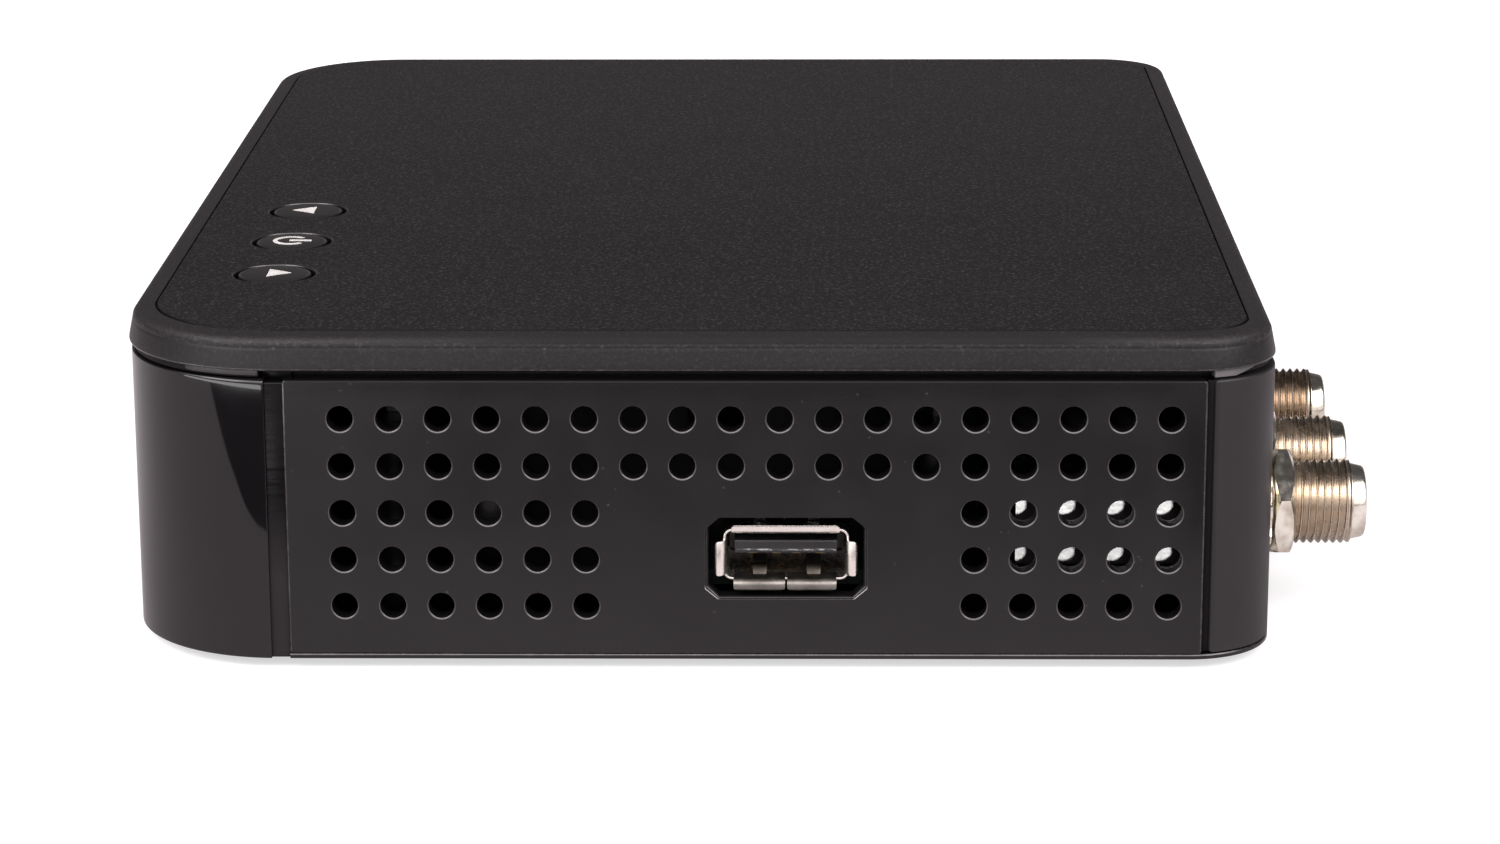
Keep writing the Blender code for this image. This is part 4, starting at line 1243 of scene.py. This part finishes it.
# ------------------------------------------------------------------ side socket
def strip(points, d0, d1, thick, edge=0.09, corner=0.35):
    """A bent sheet strip. points are (s, z) along the bend; it spans d0 to d1."""
    sh = Shape()
    pts = [Vector(p) for p in points]
    normals = []
    for i in range(len(pts)):
        a, b = pts[max(0, i - 1)], pts[min(len(pts) - 1, i + 1)]
        t = (b - a).normalized()
        normals.append(Vector((-t.y, t.x)))
    rows = []
    m = len(pts)
    for i, (p, nn) in enumerate(zip(pts, normals)):
        back = m - 1 - i
        reach = sum((pts[j + 1] - pts[j]).length for j in range(i, m - 1))
        trim = 0.0
        if reach < corner:
            trim = corner - math.sqrt(max(0.0, corner * corner - (corner - reach) ** 2))
        squeeze = 1.0
        if reach < edge:
            squeeze = max(0.25, math.sqrt(max(0.0, 1 - (1 - reach / edge) ** 2)))
        h = thick / 2 * squeeze
        e = edge * squeeze
        lo, hi = d0 + trim, d1 - trim
        prof = [(lo + e, -h), (lo + e * 0.3, -h + e * 0.3), (lo, -h + e), (lo, h - e), (lo + e * 0.3, h - e * 0.3), (lo + e, h),
                (hi - e, h), (hi - e * 0.3, h - e * 0.3), (hi, h - e), (hi, -h + e), (hi - e * 0.3, -h + e * 0.3), (hi - e, -h)]
        rows.append(sh.ring([P(p.x + nn.x * k, d, p.y + nn.y * k) for d, k in prof]))
    sh.rings(rows)
    sh.cap(rows[0])
    sh.cap(rows[-1])
    return sh


def strip_side(points, z0, z1, thick, edge=0.09, corner=0.35):
    """Like strip, for a flange on an upright edge: points are (s, d)."""
    sh = strip(points, z0, z1, thick, edge, corner)
    out = []
    for x, y, z in sh.v:
        # swap the d and z roles
        out.append((x, z + FRONT, y - FRONT))
    sh.v = out
    return sh


def flange_curve(base, out, sgn=1.0):
    """(s, offset) points: along the shell, round the bend and outward."""
    r = 0.62
    s0 = 1.18
    pts = [(3.0, base), (2.2, base), (s0, base)]
    for k in range(1, 10):
        w = math.radians(80) * k / 9
        pts.append((s0 - r * math.sin(w), base + sgn * r * (1 - math.cos(w))))
    s, o = pts[-1]
    for k in range(1, 5):
        step = (out - abs(o - base)) * k / 4
        pts.append((s - 0.10 * k / 4, o + sgn * step))
    return pts


def rtube(s0, s1, hw, hh, r, t, n=6):
    """Rounded rectangular sheet tube with its ends rounded."""
    sh = Shape()
    rows = []

    def loop(grow, s):
        return sh.ring([P(s, USB_D + a, USB_Z + b) for a, b in rrect(-hw - grow, hw + grow, -hh - grow, hh + grow, max(r + grow, 0.1), n)])

    e = t * 0.35
    for g, s in ((0.0, s1), (0.0, s0 + e), (-e * 0.3, s0 + e * 0.3), (-e, s0), (-t + e, s0), (-t + e * 0.3, s0 + e * 0.3), (-t, s0 + e),
                 (-t, s1)):
        rows.append(loop(g, s))
    sh.rings(rows + [rows[0]])
    return sh


usb = Shape()
springs = Shape()
top_springs = Shape()
HW, HH, T = 6.5, 2.75, 0.26
usb.add(rtube(1.5, 14.4, HW, HH, 0.95, T))
usb.add(strip([(s, USB_Z + o) for s, o in flange_curve(HH - 0.18, 0.86)], USB_D - 5.65, USB_D + 5.55, 0.34))
low_flange = Shape()
for a, b in ((-5.45, -0.09), (0.09, 5.22)):
    low_flange.add(strip([(s, USB_Z - o) for s, o in flange_curve(HH - 0.18, 1.02)], USB_D + a, USB_D + b, 0.34))
low_flange.build("usb_low_flange", DULL_STEEL, "shield_steel")
for sgn in (-1, 1):
    usb.add(strip_side([(s, USB_D + sgn * o) for s, o in flange_curve(HW - 0.12, 0.94)], USB_Z - 2.05, USB_Z + 1.66, 0.34))
# contact springs pressed from the top and the bottom of the shell
for c in (-2.75, 2.85):
    z0 = USB_Z - HH
    springs.add(strip([(9.5, z0 + 0.3), (6.5, z0 + 0.50), (4.6, z0 + 0.90), (3.9, z0 + 1.08), (3.55, z0 + 1.12), (3.25, z0 + 1.05), (2.95, z0 + 0.84),
                   (2.35, z0 + 0.16), (2.2, z0 + 0.02)], USB_D + c - 0.80, USB_D + c + 0.80, 0.2, corner=0.55))
    top_springs.add(strip([(7.0, USB_Z + HH + 0.02), (4.0, USB_Z + HH + 0.22), (2.5, USB_Z + HH + 0.62), (2.1, USB_Z + HH + 0.68), (1.7, USB_Z + HH + 0.6)],
                  USB_D + c - 0.6, USB_D + c + 0.6, 0.2, corner=0.3))
springs.build("usb_springs", SPRING_SHADED, "shield_steel")
top_springs.build("usb_top_springs", PORT_STEEL, "shield_steel")
usb.build("usb_shell_formed", SHELL, "shield_steel", replaces=["usb_shell"], angle=40)

tongue = Shape()
tongue.add(block(1.85, 12.0, USB_D - 5.35, USB_D + 5.3, USB_Z + 0.02, USB_Z + 1.43, 0.16))
scuffed = Shape()
scuffed.add(block(1.79, 2.3, USB_D - 5.2, USB_D + 5.15, USB_Z + 0.30, USB_Z + 0.50, 0.05))
scuffed.build("usb_tongue_edge", SCUFFED, "tongue_plastic")
tongue.add(block(11.4, 13.8, USB_D - 6.1, USB_D + 6.1, USB_Z - 2.4, USB_Z + 2.4, 0.1))
tongue.build("usb_tongue_moulded", TONGUE, "tongue_plastic", replaces=["usb_tongue"])
pads = Shape()
for c in (-3.5, -1.0, 1.0, 3.5):
    pads.add(block(2.1, 10.5, USB_D + c - 0.5, USB_D + c + 0.5, USB_Z - 0.04, USB_Z + 0.1, 0.04, 1))
pads.build("usb_contacts", GOLD, "nickel")


# ------------------------------------------------------------------ rear sockets
def tube_y(pts_of, d_out, d_in, wall, floor_d, lip_r=0.15):
    """A socket mouth that opens at the back: outer outline, rim, inner outline and its bottom."""
    sh = Shape()
    rows = []
    for t, d in ((0.0, d_in), (0.0, d_out - lip_r), (-lip_r * 0.3, d_out - lip_r * 0.3), (-lip_r, d_out), (-wall + lip_r, d_out),
                 (-wall + lip_r * 0.3, d_out - lip_r * 0.3), (-wall, d_out - lip_r), (-wall, floor_d)):
        rows.append(sh.ring([P(s, d, z) for s, z in pts_of(t)]))
    sh.rings(rows)
    sh.cap(rows[0])
    sh.cap(rows[-1])
    return sh


def hdmi_outline(t):
    """The chamfered outline of a video socket."""
    w, h, c = 7.5 + t, 2.9 + t, 2.0 + 0.4 * t
    z = 11.1
    return [(HDMI_S - w, z + h), (HDMI_S - w, z - h + c), (HDMI_S - w + c * 0.95, z - h), (HDMI_S + w - c * 0.95, z - h), (HDMI_S + w, z - h + c),
            (HDMI_S + w, z + h)]


tube_y(hdmi_outline, 119.5, 107.5, 0.45, 108.6).build("hdmi_shell", PORT_STEEL, "socket_steel", replaces=["hdmi_port"], angle=30)
bar = Shape()
bar.add(block(HDMI_S - 5.7, HDMI_S + 5.7, 108.4, 118.2, 11.3, 12.5, 0.14))
bar.build("hdmi_tongue", TONGUE, "socket_black")
pins = Shape()
for i in range(10):
    c = HDMI_S - 4.5 + i * 1.0
    pins.add(block(c - 0.22, c + 0.22, 110.0, 117.9, 12.42, 12.6, 0.05, 1))
    if i < 9:
        pins.add(block(c + 0.28, c + 0.72, 110.0, 117.9, 11.2, 11.38, 0.05, 1))
pins.build("hdmi_contacts", GOLD, "nickel")


def lan_outer(t):
    return rrect(LAN_S - 8.0 - t, LAN_S + 8.0 + t, 8.2 - t, 21.5 + t, max(0.4 + t, 0.05), 3)


def lan_mouth(grow):
    """The stepped mouth of a network socket, latch side down."""
    g = grow
    return [(LAN_S - 5.95 - g, 19.6 + g), (LAN_S - 5.95 - g, 11.8 - g), (LAN_S - 3.2 - g, 11.8 - g), (LAN_S - 3.2 - g, 10.4 - g),
            (LAN_S - 1.9 - g, 10.4 - g), (LAN_S - 1.9 - g, 9.4 - g), (LAN_S + 1.9 + g, 9.4 - g), (LAN_S + 1.9 + g, 10.4 - g),
            (LAN_S + 3.2 + g, 10.4 - g), (LAN_S + 3.2 + g, 11.8 - g), (LAN_S + 5.95 + g, 11.8 - g), (LAN_S + 5.95 + g, 19.6 + g)]


lan = Shape()
r = 0.2
outer = [lan.ring([P(a, d, z) for a, z in lan_outer(t)]) for t, d in ((0.0, 104.0), (0.0, 120.0 - r), (-r * 0.3, 120.0 - r * 0.3), (-r, 120.0))]
inner = [lan.ring([P(a, d, z) for a, z in lan_mouth(g)]) for g, d in ((0.3, 120.0), (0.0, 119.7), (0.0, 107.0))]
lan.rings(outer)
lan.rings(inner, flat=True)
lan.cap(outer[0])
lan.cap(inner[-1])
lan.fill(outer[-1], [inner[0]])
lan.build("lan_housing", JACK, "socket_black", replaces=["ethernet_jack"])
pins = Shape()
for i in range(8):
    c = LAN_S - 3.57 + i * 1.02
    pins.add(strip([(18.9, 108.0), (18.6, 111.0), (17.6, 114.0), (16.7, 116.2)], c - 0.2, c + 0.2, 0.2, edge=0.05, corner=0.1))
fixed = []
for x, y, z in pins.v:
    # strip() lays its points out as (s, z); here they are (z, d)
    s_, d_, z_ = HX - x, y - FRONT, z
    fixed.append(P(d_, z_, s_))
pins.v = fixed
pins.build("lan_contacts", GOLD, "nickel")


def round_jack(name, s, z, r_out, r_in, body_w, body_h, mat, replaced, pin=0.0):
    sh = lathe([(0.0, 106.2), (r_out - 0.2, 106.2), (r_out, 106.4), (r_out, 119.55), (r_out - 0.08, 119.74), (r_out - 0.25, 119.8),
                (r_in + 0.45, 119.8), (r_in + 0.12, 119.62), (r_in, 119.3), (r_in, 108.0), (0.0, 108.0)], s, 0.0, z, axis="Y", n=48)
    sh.add(block(s - body_w / 2, s + body_w / 2, 105.8, 117.1, 8.25, 8.25 + body_h, 0.3))
    ob = sh.build(name, mat, "socket_black", replaces=[replaced])
    inside = Shape()
    if pin:
        inside.add(lathe([(0.0, 118.3), (pin * 0.5, 118.25), (pin * 0.9, 118.0), (pin, 117.6), (pin, 107.9), (0.0, 107.9)], s, 0.0, z, axis="Y", n=32))
    else:
        inside.add(lathe([(r_in - 0.22, 118.9), (r_in - 0.05, 119.05), (r_in - 0.05, 112.0), (r_in - 0.22, 112.0)], s, 0.0, z, axis="Y", n=40,
                         closed=True))
    inside.build(name + "_contact", PORT_STEEL, "nickel")
    return ob


round_jack("av_socket", AV_S, 11.4, 3.1, 1.75, 8.0, 7.1, AVMAT, "av_jack")
round_jack("dc_socket", DC_S, 13.6, 4.1, 3.1, 9.2, 10.5, JACK, "dc_jack", 1.0)

# ------------------------------------------------------------------ feet
for i, (s, d) in enumerate(FEET, 1):
    lathe([(0.0, 0.5), (5.0, 0.5), (5.0, -0.7), (4.93, -0.95), (4.72, -1.12), (4.4, -FOOT), (4.05, -FOOT), (3.9, -1.1), (3.75, -1.02), (0.0, -1.0)],
          s, d, 0.0, n=48).build("foot_pad_%d" % i, RUBBER, "foot_rubber", replaces=["foot_%d" % i])

# ------------------------------------------------------------------ finishes on the pieces kept from the assembly
KEPT = {
    "key_board": BOARD, "front_board": BOARD, "main_board": BOARD, "display_module": DISPLAY, "ir_receiver": LENS, "status_led": RED,
    "tuner_can": CAN, "main_processor": CHIP, "memory_chip": CHIP, "heat_sink": SINK, "power_capacitor": SLEEVE, "power_inductor": FERRITE,
    "key_ribbon": FILM, "front_ribbon": FILM,
}
for n in list(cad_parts):
    if "screw" in n:
        KEPT[n] = SCREW
    elif n.endswith("_plunger"):
        KEPT[n] = PLUNGER
    elif n.endswith("_switch"):
        KEPT[n] = SWITCH
for n, m in KEPT.items():
    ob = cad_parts[n]
    if ob.material_slots:
        for sl in ob.material_slots:
            sl.material = m
    else:
        ob.data.materials.append(m)

# ------------------------------------------------------------------ camera
cam_data = bpy.data.cameras.new("camera")
cam_data.lens = 101.3232
cam_data.sensor_width = 36.0
cam_data.clip_start = 0.01
cam_data.clip_end = 20.0
camera = bpy.data.objects.new("camera", cam_data)
scene.collection.objects.link(camera)
forward = Vector((-0.96435358, -0.01465794, -0.26421074))
rightv = Vector((-0.01432622, 0.99989231, -0.00318237))
upv = Vector((-0.26422893, -0.00071621, 0.96445972))
camera.matrix_world = Matrix(((rightv.x, upv.x, -forward.x, 0.4945771), (rightv.y, upv.y, -forward.y, 0.0065481),
                              (rightv.z, upv.z, -forward.z, 0.1405835), (0, 0, 0, 1)))
scene.camera = camera

# ------------------------------------------------------------------ floor, lights and surroundings
scene.view_settings.view_transform = "Standard"


def stage_mesh(name, pts, mat):
    me = bpy.data.meshes.new(name)
    me.from_pydata(pts, [], [tuple(range(len(pts)))])
    ob = bpy.data.objects.new(name, me)
    scene.collection.objects.link(ob)
    me.materials.append(mat)
    return ob


fm = bpy.data.materials.new("stage_floor")
fm.use_nodes = True
ft = fm.node_tree
ft.nodes.clear()
f_diff = ft.nodes.new("ShaderNodeBsdfDiffuse")
f_diff.inputs["Color"].default_value = (0.50, 0.475, 0.485, 1.0)
f_pale = ft.nodes.new("ShaderNodeBsdfDiffuse")
f_pale.inputs["Color"].default_value = (0.50, 0.50, 0.50, 1.0)
f_lift = ft.nodes.new("ShaderNodeEmission")
f_lift.inputs["Strength"].default_value = 0.62
f_seen = ft.nodes.new("ShaderNodeAddShader")
ft.links.new(f_pale.outputs[0], f_seen.inputs[0])
ft.links.new(f_lift.outputs[0], f_seen.inputs[1])
f_glow = ft.nodes.new("ShaderNodeEmission")
f_glow.inputs["Strength"].default_value = 0.02
f_add = ft.nodes.new("ShaderNodeAddShader")
f_mix = ft.nodes.new("ShaderNodeMixShader")
f_path = ft.nodes.new("ShaderNodeLightPath")
f_out = ft.nodes.new("ShaderNodeOutputMaterial")
ft.links.new(f_diff.outputs[0], f_add.inputs[0])
ft.links.new(f_glow.outputs[0], f_add.inputs[1])
ft.links.new(f_path.outputs["Is Camera Ray"], f_mix.inputs[0])
ft.links.new(f_add.outputs[0], f_mix.inputs[1])
ft.links.new(f_seen.outputs[0], f_mix.inputs[2])
ft.links.new(f_mix.outputs[0], f_out.inputs["Surface"])
F = 2.2
stage_mesh("stage_floor", [(-F, -F, 0.0), (F, -F, 0.0), (F, F, 0.0), (-F, F, 0.0)], fm)

cm = bpy.data.materials.new("stage_card")
cm.use_nodes = True
sh_ = cm.node_tree.nodes["Principled BSDF"]
sh_.inputs["Base Color"].default_value = (0.0, 0.0, 0.0, 1.0)
sh_.inputs["Roughness"].default_value = 1.0
sh_.inputs["Specular IOR Level"].default_value = 0.0
near = [(-84.3, 68.5), (-66.2, 66.6), (-44.1, 61.8), (-27.6, 57.5), (-12.7, 51.4), (-2.0, 48.2), (8.0, 47.7), (126.0, 46.5)]
far = [(126.0, 118.0), (20.0, 114.0), (-7.8, 111.9), (-22.9, 107.8), (-35.4, 103.4), (-47.6, 97.6), (-59.5, 90.5), (-70.9, 82.1), (-83.7, 69.9)]
card = stage_mesh("stage_card", [((HX + q) * MM, (d + FRONT) * MM, 0.0004) for d, q in near + far], cm)
card.visible_camera = False
card.visible_diffuse = False
card.visible_shadow = False
card.visible_transmission = False

# a bright patch of table beyond the card, where it mirrors the left softbox
gm = bpy.data.materials.new("stage_glare")
gm.use_nodes = True
gm.node_tree.nodes.clear()
g_em = gm.node_tree.nodes.new("ShaderNodeEmission")
g_em.inputs["Strength"].default_value = 5.5
g_out = gm.node_tree.nodes.new("ShaderNodeOutputMaterial")
gm.node_tree.links.new(g_em.outputs[0], g_out.inputs["Surface"])
edge = [(-7.8, 111.9), (-22.9, 107.8), (-35.4, 103.4), (-47.6, 97.6), (-59.5, 90.5), (-70.9, 82.1), (-83.7, 69.9), (-93.6, 58.1), (-110.7, 25.5)]
away = [(-190.0, 60.0), (-150.0, 150.0), (-60.0, 200.0), (-5.0, 190.0)]
glare = stage_mesh("stage_glare", [((HX + q) * MM, (d + FRONT) * MM, 0.0004) for d, q in edge + away], gm)
glare.visible_camera = False
glare.visible_diffuse = False
glare.visible_shadow = False
glare.visible_transmission = False


def area(name, size, power, loc, target=(0.0, 0.0, 0.015), colour=(1.0, 1.0, 1.0), size_y=None):
    ld = bpy.data.lights.new(name, "AREA")
    ld.shape = "RECTANGLE" if size_y else "SQUARE"
    ld.size = size
    if size_y:
        ld.size_y = size_y
    ld.energy = power
    ld.color = colour
    ob = bpy.data.objects.new(name, ld)
    scene.collection.objects.link(ob)
    ob.location = loc
    ob.rotation_euler = (Vector(target) - Vector(loc)).to_track_quat("-Z", "Y").to_euler()
    return ob


area("softbox_left", 0.55, 3.5, (0.69, -0.68, 0.60))
area("softbox_right", 0.55, 3.5, (0.69, 0.72, 0.60))

spot = bpy.data.lights.new("lamp_by_camera", "AREA")
spot.size = 0.02
spot.energy = 26.0
lamp = bpy.data.objects.new("lamp_by_camera", spot)
scene.collection.objects.link(lamp)
lamp.location = (0.509, 0.076, 0.087)
lamp.rotation_euler = (Vector((0.079, 0.035, 0.014)) - Vector(lamp.location)).to_track_quat("-Z", "Y").to_euler()
only = bpy.data.collections.new("lamp_receivers")
only.objects.link(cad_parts["tuner_can"])
lamp.light_linking.receiver_collection = only

WALL_FROM, WALL_FULL, WALL_END, WALL_LIGHT, WINDOW_GAIN, ROOM = -0.15, 0.35, 0.88, 1.05, 5.0, 0.105
world = bpy.data.worlds.new("world")
scene.world = world
world.use_nodes = True
nt = world.node_tree
bg = nt.nodes["Background"]
bg.inputs["Color"].default_value = (1.0, 0.93, 0.95, 1.0)


def wnode(kind, *values, **props):
    """A world node with its inputs set or linked in order."""
    n = nt.nodes.new(kind)
    for k, v in props.items():
        setattr(n, k, v)
    for s, v in zip(n.inputs, values):
        if isinstance(v, (int, float)):
            s.default_value = v
        elif v is not None:
            nt.links.new(v, s)
    return n


def ramp(value, a, b, c=0.0, d=1.0):
    return wnode("ShaderNodeMapRange", value, a, b, c, d, interpolation_type="SMOOTHSTEP").outputs["Result"]


def wmath(op, a, b=0.0):
    return wnode("ShaderNodeMath", a, b, operation=op).outputs[0]


# a wide white wall behind the camera, dark overhead, a dim room beyond the object
direction = wnode("ShaderNodeTexCoord").outputs["Generated"]
xyz = wnode("ShaderNodeSeparateXYZ", direction)
flat_x = wmath("DIVIDE", xyz.outputs["X"], wmath("SQRT", wmath("MAXIMUM", wmath("SUBTRACT", 1.0, wmath("MULTIPLY", xyz.outputs["Z"], xyz.outputs["Z"])), 1e-4)))
camera_side = ramp(flat_x, WALL_FROM, WALL_FULL)
height_band = wmath("MULTIPLY", ramp(xyz.outputs["Z"], 0.02, 0.10), ramp(xyz.outputs["Z"], WALL_END - 0.06, WALL_END, 1.0, 0.0))
height_band = wmath("MULTIPLY", height_band, ramp(xyz.outputs["Z"], 0.40, 0.56, 1.0, WINDOW_GAIN))
beyond = ramp(xyz.outputs["Z"], 0.22, 0.50, 1.5 * ROOM, 0.06)
strength = wmath("ADD", beyond, wmath("MULTIPLY", wmath("MULTIPLY", camera_side, height_band), WALL_LIGHT))
nt.links.new(strength, bg.inputs["Strength"])
seen = nt.nodes.new("ShaderNodeBackground")
seen.inputs["Color"].default_value = (0.95, 0.95, 0.95, 1.0)
seen.inputs["Strength"].default_value = 1.0
path = nt.nodes.new("ShaderNodeLightPath")
mix = nt.nodes.new("ShaderNodeMixShader")
out = nt.nodes["World Output"]
nt.links.new(path.outputs["Is Camera Ray"], mix.inputs[0])
nt.links.new(bg.outputs[0], mix.inputs[1])
nt.links.new(seen.outputs[0], mix.inputs[2])
nt.links.new(mix.outputs[0], out.inputs["Surface"])
